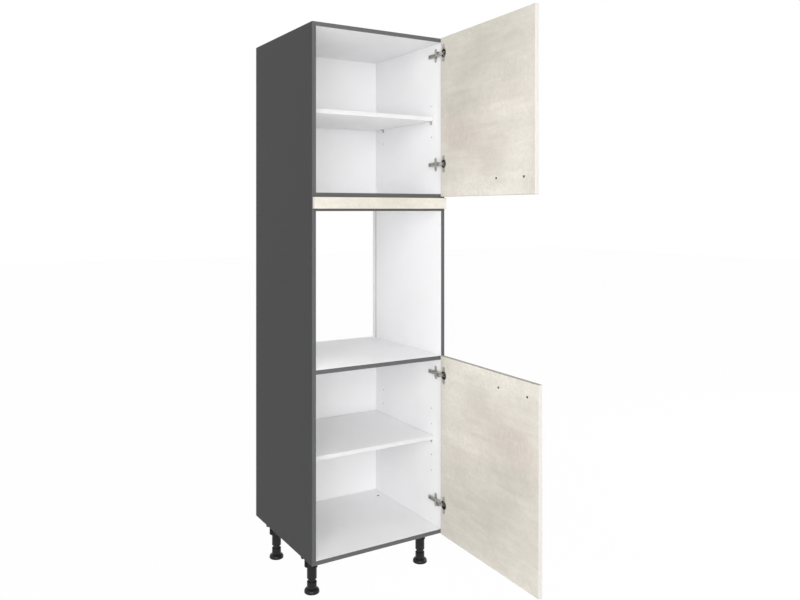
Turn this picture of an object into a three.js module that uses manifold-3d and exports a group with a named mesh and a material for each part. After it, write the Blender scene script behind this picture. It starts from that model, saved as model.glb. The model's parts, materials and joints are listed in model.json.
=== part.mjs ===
// Tall housing unit for a built-in oven: a chipboard carcass on four adjustable feet, with an open
// niche between two compartments, each closed by a door on two concealed cup hinges.
// Millimetres. +Z is up, +X to the right, the front faces -Y. The doors are modelled open.

import * as THREE from 'three';
import { mergeVertices } from 'three/addons/utils/BufferGeometryUtils.js';
import Module from 'manifold-3d';

const wasm = await Module();
wasm.setup();

// ---------------------------------------------------------------- driving dimensions

// Carcass
const unitWidth = 600;
const carcassDepth = 550;
const board = 16;             // thickness of sides, floors, top and shelves
const legHeight = 150;        // floor to the underside of the carcass
const lowerClear = 691;       // clear height of the lower compartment
const nicheClear = 590;       // clear height of the oven niche
const railSlot = 37;          // space behind the filler rail
const upperClear = 618;       // clear height of the upper compartment
const seat = 0.3;             // gap between two pieces that touch

// Back panels and their grooves
const backThickness = 3;
const grooveWidth = 4;
const grooveDepth = 8;
const grooveInset = 26.5;     // rear edge of the sides to the groove
const backPlay = 1;           // end play of a back panel in its groove

// Filler rail
const railHeight = 44;
const railThickness = 16;
const frontReveal = 2;        // outer face of a side to the edge of a rail or door

// Doors
const doorBoard = 16;
const doorGap = 2.5;          // carcass front to the inner face of a closed door
const topReveal = 1;          // door edge inside the top or bottom of the carcass
const doorOverNiche = 2;      // top of the lower door above the niche floor
const doorOverRail = 5;       // bottom of the upper door above the rail
const upperDoorOpen = 86.5;   // degrees, as modelled
const lowerDoorOpen = 88;
const handlePitch = 160;
const handleHoleRadius = 2.5;
const handleInset = 59;       // free edge to the nearer handle hole
const upperHandleRise = 62;   // bottom edge of the upper door to its handle holes
const lowerHandleDrop = 53;   // top edge of the lower door to its handle holes
const bumperRadius = 4;
const bumperHeight = 1.6;
const bumperInset = 8.5;      // free edge to the middle of a bumper
const bumperDrop = 60;        // top or bottom edge to the middle of a bumper

// Shelves, their holes and supports
const shelfSetback = 54;      // carcass front to the shelf
const shelfPlay = 1;          // shelf end to the side panel
const shelfRearGap = 4;       // shelf to the back panel
const shelfHoleRadius = 2.5;
const shelfHoleDepth = 12;
const shelfHolePitch = 64;
const frontRowInset = 69;     // carcass front to the front row of holes
const rearRowInset = 97;      // carcass rear to the rear row
const upperShelfPins = 301;   // upper floor to the pins in use
const lowerShelfPins = 349;   // bottom panel to the pins in use
const upperRows = [-1, 0, 1];
const lowerRows = [-2, -1, 0, 1, 2];
const supportPinRadius = 2.2;
const supportPinLength = 10;
const supportPlate = 2;       // thickness of the support's plate on the side panel
const supportPlateHeight = 14;
const supportWidth = 11;
const tongueLength = 11;
const tongueThickness = 1.8;
const gussetHeight = 9;       // the web that braces the tongue, measured down the plate

// Legs
const legInset = 50;          // outer face of a side to the leg axis
const frontLegInset = 105;
const rearLegInset = 105;
const socketPlate = 72;
const socketPlateThickness = 5;
const socketCorner = 12;
const socketEarReach = 46;    // leg axis to the end of an ear; the outer ear carries the side panel
const socketEarWidth = 34;
const socketHeight = 53;
const socketRingWall = 3;
const socketRibReach = 31;    // leg axis to the outer edge of a rib
const socketRibThickness = 3;
const socketRibRise = 2;      // lower end of the ring to the lower end of a rib
const socketRibChamfer = 5;
const socketScrewInset = 9;
const socketScrewRadius = 2.2;
const tubeRadius = 19;
const tubeBoreRadius = 14.8;
const tubeBottom = 53;        // floor to the lower end of the tube
const tubeRoof = 9;           // thickness of the tube's top end
const tubeChamfer = 1.5;
const footRadius = 29.5;
const footRim = 5;            // height of the foot's upright rim
const footShoulderTop = 16;   // floor to where the round shoulder meets the collar
const collarTop = 41.5;
const collarWall = 2;
const collarRecess = 4;       // depth of the groove between the collar and the spindle
const spindleRadius = 14.4;
const spindleHeadroom = 35;   // top of the spindle to the roof of the tube
const accessHoleRadius = 6;   // way for a screwdriver, through the panel, the socket and the tube's top

// Hinges: heights on the door edge, then the linkage seen from above with the door closed, from the
// door's hinge edge (x) and its inner face (y)
const upperHingeRise = 133;   // bottom edge of the upper door to its lower hinge
const upperHingeDrop = 63;    // top edge of the upper door to its upper hinge
const lowerHingeRise = 123;
const lowerHingeDrop = 77;
const outerArmPin = [-31.85, -7.3];
const innerArmPin = [-35, 6];
const outerCupPin = [-11.87, -8.12];
const innerCupPin = [-10.4, -2.31];
const outerLinkShare = -0.31; // turn of the outer link for each degree of door
const pinRadius = 1.2;
const pinHoleRadius = 1.65;
const pinEndPlay = 0.1;       // end of a pin inside the cheek or ear that holds it
const hingeScrewHoleRadius = 2.6;
const cupSetback = 22.5;      // hinge edge to the middle of the cup
const cupBoreRadius = 17.5;
const cupBoreDepth = 12.5;
const cupWall = 0.8;
const cupFootChamfer = 2;
const flangeThickness = 1.2;
const flangeRingRadius = 18.4;
const flangeLength = 66;
const flangeWidth = 17;
const flangeScrewPitch = 48;
const rimNotch = 14;          // height of the notch that the links swing through
const rimNotchDepth = 1.2;    // the notch below the face of the door
const rimNotchLength = 4;     // the notch inwards from the bowl's wall
const cupEar = 2.2;           // thickness of the two ears that hold the cup's pin
const cupEarWall = 0.6;       // ear around its pin
const armLength = 78;         // carcass front to the rear end of the arm
const armHeight = 10;         // side panel to the top of the arm
const armWidth = 16;
const armWall = 1.3;
const armFootGap = 3;         // side panel to the lower edge of the arm's cheeks
const armFootSetback = 12;    // carcass front to where the cheeks turn up to the nose
const armKneeSetback = 30;    // carcass front to where the web comes down on the plate
const armHoleSetback = 66;    // carcass front to the fixing hole in the web
const noseRadius = 2.9;
const noseTip = 1.5;          // inner arm pin to the front of the crest
const noseCrest = 4;          // inner arm pin to the rear of the crest
const webSlant = 0.4;         // how far the web's bends move back for each millimetre of its thickness
const plateSetback = 37;      // carcass front to the screws of the mounting plate
const plateThickness = 1.6;
const plateLength = 56;
const plateWidth = 12;
const plateScrewPitch = 32;
const plateBlockWidth = 12.4;
const blockFront = 12;        // carcass front to the block that the arm clips over
const blockRear = 66;
const blockSlopeRise = 4;     // height of the block's sloping ends
const blockFrontSlope = 8;
const blockRearSlope = 6;
const outerCheek = 1.8;       // thickness of each cheek of the outer link
const barrelWall = 1.3;       // outer link around the cup's pin
const innerLinkWidth = 7;
const linkRootRadius = 2;     // round root of a link on its arm pin
const linkHalfWidth = 0.9;    // half the thickness of a link seen from above
const outerRootHalfWidth = 1.25;
const outerElbow = { along: 9.5, across: 2.4 };  // from the arm pin, along and beside the line to the cup pin
const innerElbow = { along: 14, across: 3.4 };

// ---------------------------------------------------------------- levels and places

const carcassBottom = legHeight;
const bottomTop = carcassBottom + board;
const nicheFloorBottom = bottomTop + lowerClear;
const nicheFloorTop = nicheFloorBottom + board;
const nicheTopBottom = nicheFloorTop + nicheClear;
const nicheTopTop = nicheTopBottom + board;
const upperFloorBottom = nicheTopTop + railSlot;
const upperFloorTop = upperFloorBottom + board;
const topBottom = upperFloorTop + upperClear;
const carcassTop = topBottom + board;

const outerX = unitWidth / 2;
const innerX = outerX - board;
const grooveRear = carcassDepth - grooveInset;
const grooveFront = grooveRear - grooveWidth;
const backFront = grooveFront + (grooveWidth - backThickness) / 2;

const railTop = upperFloorBottom;
const upperDoorBottom = railTop + doorOverRail;
const upperDoorTop = carcassTop - topReveal;
const lowerDoorBottom = carcassBottom + topReveal;
const lowerDoorTop = nicheFloorTop + doorOverNiche;
const hingeX = outerX - frontReveal;
const hingeY = -doorGap;

const upperPinZ = upperFloorTop + upperShelfPins;
const lowerPinZ = bottomTop + lowerShelfPins;
const rowY = { front: frontRowInset, rear: carcassDepth - rearRowInset };
const legY = { front: frontLegInset, rear: carcassDepth - rearLegInset };
const sides = { left: -1, right: 1 };
const roundFacets = 18;       // sides of the larger round shapes

// ---------------------------------------------------------------- finishes

const finish = (color, roughness, metalness = 0) =>
  new THREE.MeshStandardMaterial({ color, roughness, metalness });
const anthracite = finish(0x535456, 0.55);
const white = finish(0xe9e9ea, 0.5);
const concrete = finish(0xe3ddcc, 0.6);
const nickel = finish(0xb9b7b0, 0.3, 1);
const blackPlastic = finish(0x2b2c2e, 0.5);
const clearPlastic = finish(0xdedfdc, 0.3);

// ---------------------------------------------------------------- shaping

const radians = THREE.MathUtils.degToRad;

// A block between two faces on each axis, given in either order.
function box(x0, x1, y0, y1, z0, z1) {
  const shape = new THREE.BoxGeometry(Math.abs(x1 - x0), Math.abs(y1 - y0), Math.abs(z1 - z0));
  return shape.translate((x0 + x1) / 2, (y0 + y1) / 2, (z0 + z1) / 2);
}

// An outline in the XY plane, raised from z0 to z1.
function prism(points, z0, z1) {
  const outline = new THREE.Shape(points.map(([x, y]) => new THREE.Vector2(x, y)));
  const shape = new THREE.ExtrudeGeometry(outline, { depth: z1 - z0, bevelEnabled: false });
  return shape.translate(0, 0, z0);
}

// Points of an arc about (x, y), angles in degrees.
function arc(x, y, radius, from, to, steps) {
  return Array.from({ length: steps + 1 }, (_, i) => {
    const angle = radians(from + (to - from) * i / steps);
    return [x + radius * Math.cos(angle), y + radius * Math.sin(angle)];
  });
}

// A round rod between two points.
function rod(from, to, radius, facets = 12) {
  const start = new THREE.Vector3(...from);
  const span = new THREE.Vector3(...to).sub(start);
  const along = span.clone().normalize();
  const turn = new THREE.Quaternion().setFromUnitVectors(new THREE.Vector3(0, 1, 0), along);
  const shape = new THREE.CylinderGeometry(radius, radius, span.length(), facets);
  const middle = start.addScaledVector(span, 0.5);
  return shape.applyQuaternion(turn).translate(middle.x, middle.y, middle.z);
}

// A shape turned about +Z from a profile of [radius, z] that runs upwards on its outside.
function turned(profile, facets) {
  const shape = new THREE.LatheGeometry(profile.map(([r, z]) => new THREE.Vector2(r, z)), facets);
  return shape.rotateX(Math.PI / 2);
}

// The flat bar with round ends between two points of the XY plane.
function bar(from, to, halfWidth, z0, z1) {
  const tilt = THREE.MathUtils.radToDeg(Math.atan2(to[1] - from[1], to[0] - from[0]));
  const outline = [
    ...arc(to[0], to[1], halfWidth, tilt - 90, tilt + 90, 5),
    ...arc(from[0], from[1], halfWidth, tilt + 90, tilt + 270, 5),
  ];
  return prism(outline, z0, z1);
}

function toSolid(geometry) {
  geometry.deleteAttribute('normal');
  geometry.deleteAttribute('uv');
  const closed = mergeVertices(geometry, 1e-4);
  return new wasm.Manifold(new wasm.Mesh({
    numProp: 3,
    vertProperties: closed.getAttribute('position').array,
    triVerts: new Uint32Array(closed.getIndex().array),
  }));
}

// Joins the shapes of one list and takes those of another away.
function shaped(parts, cuts = []) {
  const joined = parts.map(toSolid).reduce((sum, part) => sum.add(part));
  const mesh = cuts.map(toSolid).reduce((rest, cut) => rest.subtract(cut), joined).getMesh();
  const geometry = new THREE.BufferGeometry();
  geometry.setAttribute('position', new THREE.BufferAttribute(mesh.vertProperties, 3));
  geometry.setIndex(new THREE.BufferAttribute(mesh.triVerts, 1));
  return geometry;
}

function piece(parent, name, geometry, material) {
  const mesh = new THREE.Mesh(geometry, material);
  mesh.name = name;
  parent.add(mesh);
  return mesh;
}

const unit = new THREE.Group();

// ---------------------------------------------------------------- side panels

// Both sides carry two rows of shelf holes for each compartment and one groove for the back panels.
function sidePanel(side) {
  const inner = side * innerX;
  const grooveFloor = inner + side * grooveDepth;
  const groove = box(inner - side, grooveFloor, grooveFront, grooveRear, carcassBottom - 1, carcassTop + 1);
  const heights = [
    ...upperRows.map((row) => upperPinZ + row * shelfHolePitch),
    ...lowerRows.map((row) => lowerPinZ + row * shelfHolePitch),
  ];
  const holes = heights.flatMap((z) => Object.values(rowY).map((y) =>
    rod([inner - side, y, z], [inner + side * shelfHoleDepth, y, z], shelfHoleRadius, 8)));
  const panel = box(inner, side * outerX, 0, carcassDepth, carcassBottom, carcassTop);
  return shaped([panel], [groove, ...holes]);
}

for (const [name, side] of Object.entries(sides)) {
  piece(unit, `side_panel_${name}`, sidePanel(side), anthracite);
}

// ---------------------------------------------------------------- floors and top

// A board between the sides. A groove is cut in its top or its underside where a back panel enters it.
function crossBoard(bottom, grooveIn, cuts = []) {
  const top = bottom + board;
  const reach = innerX - seat;
  const grooves = {
    top: () => [box(-outerX, outerX, grooveFront, grooveRear, top - grooveDepth, top + 1)],
    underside: () => [box(-outerX, outerX, grooveFront, grooveRear, bottom - 1, bottom + grooveDepth)],
    neither: () => [],
  };
  const panel = box(-reach, reach, 0, carcassDepth, bottom, top);
  return shaped([panel], [...grooves[grooveIn](), ...cuts]);
}

const accessHoles = Object.values(sides).map((side) => {
  const x = side * (outerX - legInset);
  return rod([x, legY.rear, carcassBottom - 1], [x, legY.rear, bottomTop + 1], accessHoleRadius, roundFacets);
});
piece(unit, 'bottom_panel', crossBoard(carcassBottom, 'top', accessHoles), white);
piece(unit, 'niche_floor_panel', crossBoard(nicheFloorBottom, 'underside'), white);
piece(unit, 'niche_top_panel', crossBoard(nicheTopBottom, 'neither'), white);
piece(unit, 'upper_floor_panel', crossBoard(upperFloorBottom, 'top'), white);
piece(unit, 'top_panel', crossBoard(topBottom, 'underside'), white);

// ---------------------------------------------------------------- back panels

function backPanel(floor, roof) {
  const reach = innerX + grooveDepth - backPlay;
  const rise = grooveDepth - backPlay;
  return box(-reach, reach, backFront, backFront + backThickness, floor - rise, roof + rise);
}

piece(unit, 'lower_back_panel', backPanel(bottomTop, nicheFloorBottom), white);
piece(unit, 'upper_back_panel', backPanel(upperFloorTop, topBottom), white);

// ---------------------------------------------------------------- filler rail

const railReach = outerX - frontReveal;
const rail = box(-railReach, railReach, -seat - railThickness, -seat, railTop - railHeight, railTop);
piece(unit, 'filler_rail', rail, concrete);

// ---------------------------------------------------------------- shelves and supports

// The pin sits in a shelf hole, the plate lies on the side panel and the tongue carries the shelf.
function shelfSupport(side, y, z) {
  const fromWall = (reach) => side * (innerX - seat - reach);
  const top = z + supportPinRadius;
  const outline = [
    [0, 0], [supportPlate + tongueLength, 0], [supportPlate + tongueLength, -tongueThickness],
    [supportPlate, -gussetHeight], [supportPlate, -supportPlateHeight], [0, -supportPlateHeight],
  ].map(([reach, rise]) => [fromWall(reach), top + rise]);
  const bracket = prism(outline, -supportWidth / 2, supportWidth / 2).rotateX(Math.PI / 2).translate(0, y, 0);
  const pin = rod([fromWall(supportPlate / 2), y, z], [fromWall(-supportPinLength), y, z], supportPinRadius, 8);
  return shaped([bracket, pin]);
}

function shelfWithSupports(name, pinZ) {
  const bottom = pinZ + supportPinRadius + seat;
  const reach = innerX - shelfPlay;
  const shelf = box(-reach, reach, shelfSetback, backFront - shelfRearGap, bottom, bottom + board);
  piece(unit, `${name}_shelf`, shelf, white);
  for (const [sideName, side] of Object.entries(sides)) {
    for (const [row, y] of Object.entries(rowY)) {
      piece(unit, `${name}_shelf_support_${row}_${sideName}`, shelfSupport(side, y, pinZ), nickel);
    }
  }
}

shelfWithSupports('lower', lowerPinZ);
shelfWithSupports('upper', upperPinZ);

// ---------------------------------------------------------------- legs

const tubeTop = carcassBottom - seat - socketPlateThickness - seat;
const tubeRoofBottom = tubeTop - tubeRoof;

// The socket is screwed under the bottom panel. Its plate has an ear to each side, and ribs brace the
// long ring that holds the tube.
function legSocket() {
  const top = carcassBottom - seat;
  const plateBottom = top - socketPlateThickness;
  const half = socketPlate / 2;
  const corner = half - socketCorner;
  const plate = prism([
    ...arc(corner, corner, socketCorner, 0, 90, 4),
    ...arc(-corner, corner, socketCorner, 90, 180, 4),
    ...arc(-corner, -corner, socketCorner, 180, 270, 4),
    ...arc(corner, -corner, socketCorner, 270, 360, 4),
  ], plateBottom, top);
  const halfEar = socketEarWidth / 2;
  const earMiddle = socketEarReach - halfEar;
  const ears = bar([-earMiddle, 0], [earMiddle, 0], halfEar, plateBottom, top);
  const ringRadius = tubeRadius + seat + socketRingWall;
  const ringBottom = top - socketHeight;
  const ring = rod([0, 0, ringBottom], [0, 0, top], ringRadius, roundFacets);
  const bore = rod([0, 0, ringBottom - 1], [0, 0, plateBottom], tubeRadius + seat, roundFacets);
  const halfRib = socketRibThickness / 2;
  const ribBottom = ringBottom + socketRibRise;
  const ribs = [0, 90, 180, 270].map((angle) => {
    const outline = [
      [0, top], [0, ribBottom], [socketRibReach - socketRibChamfer, ribBottom],
      [socketRibReach, ribBottom + socketRibChamfer], [socketRibReach, top],
    ];
    return prism(outline, -halfRib, halfRib).rotateX(Math.PI / 2).rotateZ(radians(angle));
  });
  const screwReach = half - socketScrewInset;
  const screwHoles = [[1, 1], [-1, 1], [-1, -1], [1, -1]].map(([x, y]) =>
    rod([x * screwReach, y * screwReach, plateBottom - 1], [x * screwReach, y * screwReach, top + 1],
      socketScrewRadius, 6));
  const access = rod([0, 0, ringBottom], [0, 0, top + 1], accessHoleRadius);
  return shaped([plate, ears, ring, ...ribs], [bore, access, ...screwHoles]);
}

// The tube is open below for the spindle of the foot; its top end has a hole for the screwdriver.
function legTube() {
  return turned([
    [accessHoleRadius, tubeRoofBottom], [tubeBoreRadius, tubeRoofBottom], [tubeBoreRadius, tubeBottom],
    [tubeRadius - tubeChamfer, tubeBottom], [tubeRadius, tubeBottom + tubeChamfer], [tubeRadius, tubeTop],
    [accessHoleRadius, tubeTop], [accessHoleRadius, tubeRoofBottom],
  ], roundFacets);
}

// A foot turned in one piece: rim, round shoulder, collar and the spindle that screws into the tube.
function levellingFoot() {
  const shoulderReach = footRadius - tubeRadius;
  const shoulderRise = footShoulderTop - footRim;
  const shoulder = arc(0, 0, 1, 0, 90, 4).map(([out, up]) =>
    [tubeRadius + shoulderReach * out, footRim + shoulderRise * up]);
  const spindleTop = tubeRoofBottom - spindleHeadroom;
  return turned([
    [0, 0], [footRadius, 0], ...shoulder, [tubeRadius, collarTop], [tubeRadius - collarWall, collarTop],
    [tubeRadius - collarWall, collarTop - collarRecess], [spindleRadius, collarTop - collarRecess],
    [spindleRadius, spindleTop], [0, spindleTop],
  ], roundFacets);
}

for (const [row, y] of Object.entries(legY)) {
  for (const [name, side] of Object.entries(sides)) {
    const leg = new THREE.Group();
    leg.position.set(side * (outerX - legInset), y, 0);
    piece(leg, `leg_socket_${row}_${name}`, legSocket(), blackPlastic);
    piece(leg, `leg_tube_${row}_${name}`, legTube(), blackPlastic);
    piece(leg, `levelling_foot_${row}_${name}`, levellingFoot(), blackPlastic);
    unit.add(leg);
  }
}

// ---------------------------------------------------------------- concealed hinges

// All hinge shapes are drawn with the door closed, from the door's hinge edge and inner face.
const wallX = frontReveal - board;
const frontY = doorGap;
const halfArm = armWidth / 2;
const laneHalf = halfArm - armWall - seat;

// The mounting plate: two screwed wings and the block that the arm clips over.
function mountingPlate() {
  const face = wallX - seat;
  const wingHalf = plateWidth / 2;
  const wingReach = plateLength / 2 - wingHalf;
  const wings = bar([-wingReach, 0], [wingReach, 0], wingHalf, 0, plateThickness);
  wings.rotateY(-Math.PI / 2).translate(face, frontY + plateSetback, 0);
  const blockTop = wallX - armHeight + armWall + seat;
  const front = frontY + blockFront;
  const rear = frontY + blockRear;
  const block = prism([
    [face, front], [face, rear], [blockTop + blockSlopeRise, rear], [blockTop, rear - blockRearSlope],
    [blockTop, front + blockFrontSlope], [blockTop + blockSlopeRise, front],
  ], -plateBlockWidth / 2, plateBlockWidth / 2);
  const screwY = frontY + plateSetback;
  const screws = [-plateScrewPitch / 2, plateScrewPitch / 2].map((z) =>
    rod([face + 1, screwY, z], [face - plateThickness - 1, screwY, z], hingeScrewHoleRadius, 10));
  return shaped([wings, block], screws);
}

// The arm is one pressed channel: clipped over the plate's block at the rear, cranked out to the nose
// that carries the two link pins.
function hingeArm() {
  const foot = wallX - armFootGap;
  const back = wallX - armHeight;
  const crest = innerArmPin[0] - linkRootRadius - seat - armWall;
  const rear = frontY + armLength;
  const past = 5;             // how far the channel's cut runs past the arm
  const web = (inset, end) => [
    [crest + inset, innerArmPin[1] + noseCrest + inset * webSlant],
    [back + inset, frontY + armKneeSetback + inset * webSlant],
    [back + inset, end],
  ];
  const outline = [
    [foot, rear],
    [foot, frontY + armFootSetback],
    ...arc(outerArmPin[0], outerArmPin[1], noseRadius, 0, -180, 6),
    [innerArmPin[0] - pinRadius, frontY],
    [crest, innerArmPin[1] - noseTip],
    ...web(0, rear),
  ];
  const channelFront = outerArmPin[1] - noseRadius - past;
  const channel = [
    [foot + past, rear + past],
    [foot + past, channelFront],
    [crest + armWall, channelFront],
    ...web(armWall, rear + past),
  ];
  const holes = [outerArmPin, innerArmPin].map(([x, y]) =>
    rod([x, y, -halfArm - 1], [x, y, halfArm + 1], pinHoleRadius, 12));
  const fixingY = frontY + armHoleSetback;
  const fixing = rod([back - 1, fixingY, 0], [back + armWall + 1, fixingY, 0], hingeScrewHoleRadius, 12);
  return shaped(
    [prism(outline, -halfArm, halfArm)],
    [prism(channel, -halfArm + armWall, halfArm - armWall), fixing, ...holes],
  );
}

// A link seen from above: a wide root at its arm pin, an elbow that clears the rim of the cup, and the
// end at its cup pin. Coordinates count from the arm pin.
function linkLine(armPin, cupPin, elbowAlong, elbowAcross) {
  const end = new THREE.Vector2(cupPin[0] - armPin[0], cupPin[1] - armPin[1]);
  const along = end.clone().normalize();
  const across = new THREE.Vector2(along.y, -along.x);
  const elbow = along.multiplyScalar(elbowAlong).addScaledVector(across, elbowAcross);
  return { elbow: [elbow.x, elbow.y], end: [end.x, end.y] };
}

// The outer link: two cheeks on stub pins in the arm, joined by the barrel that turns on the cup's pin.
function outerLink() {
  const { elbow, end } = linkLine(outerArmPin, outerCupPin, outerElbow.along, outerElbow.across);
  const parts = [1, -1].flatMap((side) => {
    const [z0, z1] = [side * laneHalf, side * (laneHalf - outerCheek)].sort((a, b) => a - b);
    return [
      bar([0, 0], elbow, outerRootHalfWidth, z0, z1),
      bar(elbow, end, linkHalfWidth, z0, z1),
      rod([0, 0, side * (laneHalf - outerCheek / 2)], [0, 0, side * (halfArm - pinEndPlay)], pinRadius, 10),
    ];
  });
  const barrel = rod([...end, -laneHalf], [...end, laneHalf], pinRadius + barrelWall, 12);
  const eye = rod([...end, -laneHalf - 1], [...end, laneHalf + 1], pinHoleRadius, 12);
  return shaped([...parts, barrel], [eye]);
}

// The inner link: one plate between the cheeks of the outer link, on a through pin in the arm.
function innerLink() {
  const { elbow, end } = linkLine(innerArmPin, innerCupPin, innerElbow.along, innerElbow.across);
  const half = innerLinkWidth / 2;
  return shaped([
    bar([0, 0], elbow, linkHalfWidth, -half, half),
    bar(elbow, end, linkHalfWidth, -half, half),
    rod([0, 0, -half], [0, 0, half], linkRootRadius, 10),
    rod([0, 0, -halfArm + pinEndPlay], [0, 0, halfArm - pinEndPlay], pinRadius, 10),
  ]);
}

// The cup: a pressed bowl in the door, two ears in it that hold the pin of the outer link, and a
// winged flange on the door's face. The rim is lowered where the links swing out.
function hingeCup() {
  const outer = cupBoreRadius - seat;
  const inner = outer - cupWall;
  const depth = cupBoreDepth - seat;
  const faceTop = seat + flangeThickness;
  const floor = -depth + cupWall;
  const bowl = turned([
    [0, -depth], [outer - cupFootChamfer, -depth], [outer, -depth + cupFootChamfer], [outer, faceTop],
    [inner, faceTop], [inner, floor + cupFootChamfer], [inner - cupFootChamfer, floor], [0, floor],
  ], roundFacets);
  const wingHalf = flangeWidth / 2;
  const wingReach = flangeLength / 2 - wingHalf;
  const wings = bar([0, -wingReach], [0, wingReach], wingHalf, seat, faceTop);
  const ring = rod([0, 0, seat], [0, 0, faceTop], flangeRingRadius, roundFacets);
  const mouth = rod([0, 0, 0], [0, 0, faceTop + 1], inner, roundFacets);
  const screws = [-flangeScrewPitch / 2, flangeScrewPitch / 2].map((y) =>
    rod([0, y, 0], [0, y, faceTop + 1], hingeScrewHoleRadius, 10));
  const shell = shaped([shaped([wings, ring], [mouth, ...screws]), bowl]);
  shell.rotateX(-Math.PI / 2).translate(-cupSetback, 0, 0);
  const notchStart = -cupSetback + inner - rimNotchLength;
  const notch = box(notchStart, 0, -rimNotchDepth, faceTop + 1, -rimNotch / 2, rimNotch / 2);
  const earFace = laneHalf + seat;
  const earEnd = earFace + cupEar;
  const pinEnd = earEnd - pinEndPlay;
  const pin = rod([...outerCupPin, -pinEnd], [...outerCupPin, pinEnd], pinRadius, 10);
  const earHalf = pinRadius + cupEarWall;
  const ears = [[earFace, earEnd], [-earEnd, -earFace]].map(([z0, z1]) => box(
    outerCupPin[0] - earHalf, outerCupPin[0] + earHalf,
    floor - cupWall / 2, outerCupPin[1] + earHalf, z0, z1,
  ));
  return shaped([shaped([shell], [notch]), pin, ...ears]);
}

// Turn of the inner link when the door has opened by the given angle and the outer link has followed.
function innerLinkTurn(open) {
  const opened = doorPoint(innerCupPin, open);
  const before = Math.atan2(innerCupPin[1] - innerArmPin[1], innerCupPin[0] - innerArmPin[0]);
  const after = Math.atan2(opened.y - innerArmPin[1], opened.x - innerArmPin[0]);
  return after - before;
}

// Where a point of the closed door has gone when the door has opened by the given angle.
function doorPoint([x, y], open) {
  const origin = new THREE.Vector2();
  const reach = new THREE.Vector2(outerCupPin[0] - outerArmPin[0], outerCupPin[1] - outerArmPin[1]);
  const cupPin = new THREE.Vector2(...outerArmPin).add(reach.rotateAround(origin, open * outerLinkShare));
  return new THREE.Vector2(x - outerCupPin[0], y - outerCupPin[1]).rotateAround(origin, open).add(cupPin);
}

function hinge(name, z, open, door) {
  const place = new THREE.Group();
  place.position.set(hingeX, hingeY, z);
  piece(place, `${name}_hinge_plate`, mountingPlate(), nickel);
  piece(place, `${name}_hinge_arm`, hingeArm(), nickel);
  const outer = piece(place, `${name}_hinge_outer_link`, outerLink(), nickel);
  outer.position.set(...outerArmPin, 0);
  outer.rotation.z = open * outerLinkShare;
  const inner = piece(place, `${name}_hinge_inner_link`, innerLink(), nickel);
  inner.position.set(...innerArmPin, 0);
  inner.rotation.z = innerLinkTurn(open);
  unit.add(place);
  const cup = piece(door, `${name}_hinge_cup`, hingeCup(), nickel);
  cup.position.z = z;
}

// ---------------------------------------------------------------- doors

function doorPanel(bottom, top, hingeHeights, handleZ) {
  const farEdge = -(unitWidth - 2 * frontReveal);
  const panel = box(farEdge, 0, -doorBoard, 0, bottom, top);
  const bores = hingeHeights.map((z) =>
    rod([-cupSetback, -cupBoreDepth, z], [-cupSetback, 1, z], cupBoreRadius, roundFacets));
  const handleHoles = [handleInset, handleInset + handlePitch].map((inset) =>
    rod([farEdge + inset, -doorBoard - 1, handleZ], [farEdge + inset, 1, handleZ], handleHoleRadius, 10));
  return shaped([panel], [...bores, ...handleHoles]);
}

// A clear dome stuck near the free edge; it meets the front of the left side panel.
function bumper() {
  const dome = turned([
    [0, 0], [bumperRadius, 0], [bumperRadius * 0.92, bumperHeight * 0.55],
    [bumperRadius * 0.6, bumperHeight * 0.9], [0, bumperHeight],
  ], 16);
  return dome.rotateX(-Math.PI / 2).translate(0, seat, 0);
}

function hungDoor({ name, bottom, top, handleZ, hingeRise, hingeDrop, openDegrees }) {
  const open = radians(openDegrees);
  const heights = { bottom: bottom + hingeRise, top: top - hingeDrop };
  const door = new THREE.Group();
  const edge = doorPoint([0, 0], open);
  door.position.set(hingeX + edge.x, hingeY + edge.y, 0);
  door.rotation.z = open;
  piece(door, `${name}_door`, doorPanel(bottom, top, Object.values(heights), handleZ), concrete);
  for (const [end, z] of Object.entries({ bottom: bottom + bumperDrop, top: top - bumperDrop })) {
    const dome = piece(door, `${name}_door_bumper_${end}`, bumper(), clearPlastic);
    dome.position.set(-(unitWidth - 2 * frontReveal - bumperInset), 0, z);
  }
  unit.add(door);
  for (const [end, z] of Object.entries(heights)) {
    hinge(`${name}_door_${end}`, z, open, door);
  }
}

hungDoor({
  name: 'lower', bottom: lowerDoorBottom, top: lowerDoorTop, handleZ: lowerDoorTop - lowerHandleDrop,
  hingeRise: lowerHingeRise, hingeDrop: lowerHingeDrop, openDegrees: lowerDoorOpen,
});
hungDoor({
  name: 'upper', bottom: upperDoorBottom, top: upperDoorTop, handleZ: upperDoorBottom + upperHandleRise,
  hingeRise: upperHingeRise, hingeDrop: upperHingeDrop, openDegrees: upperDoorOpen,
});

// ---------------------------------------------------------------- the whole unit

// The origin lies on the floor below the middle of everything, open doors included.
unit.updateMatrixWorld(true);
const extent = new THREE.Box3().setFromObject(unit, true);
const middle = extent.getCenter(new THREE.Vector3());
unit.position.set(-middle.x, -middle.y, -extent.min.z);

const housing = new THREE.Group();
housing.add(unit);

export default housing;
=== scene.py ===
"""The looks of a tall housing unit for a built-in oven, from its boards to its screws.

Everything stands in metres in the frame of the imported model. A new shape is drawn in millimetres and is
scaled when it becomes a piece.
"""

import json
import math

import bmesh
import bpy
from mathutils import Matrix, Vector


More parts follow.
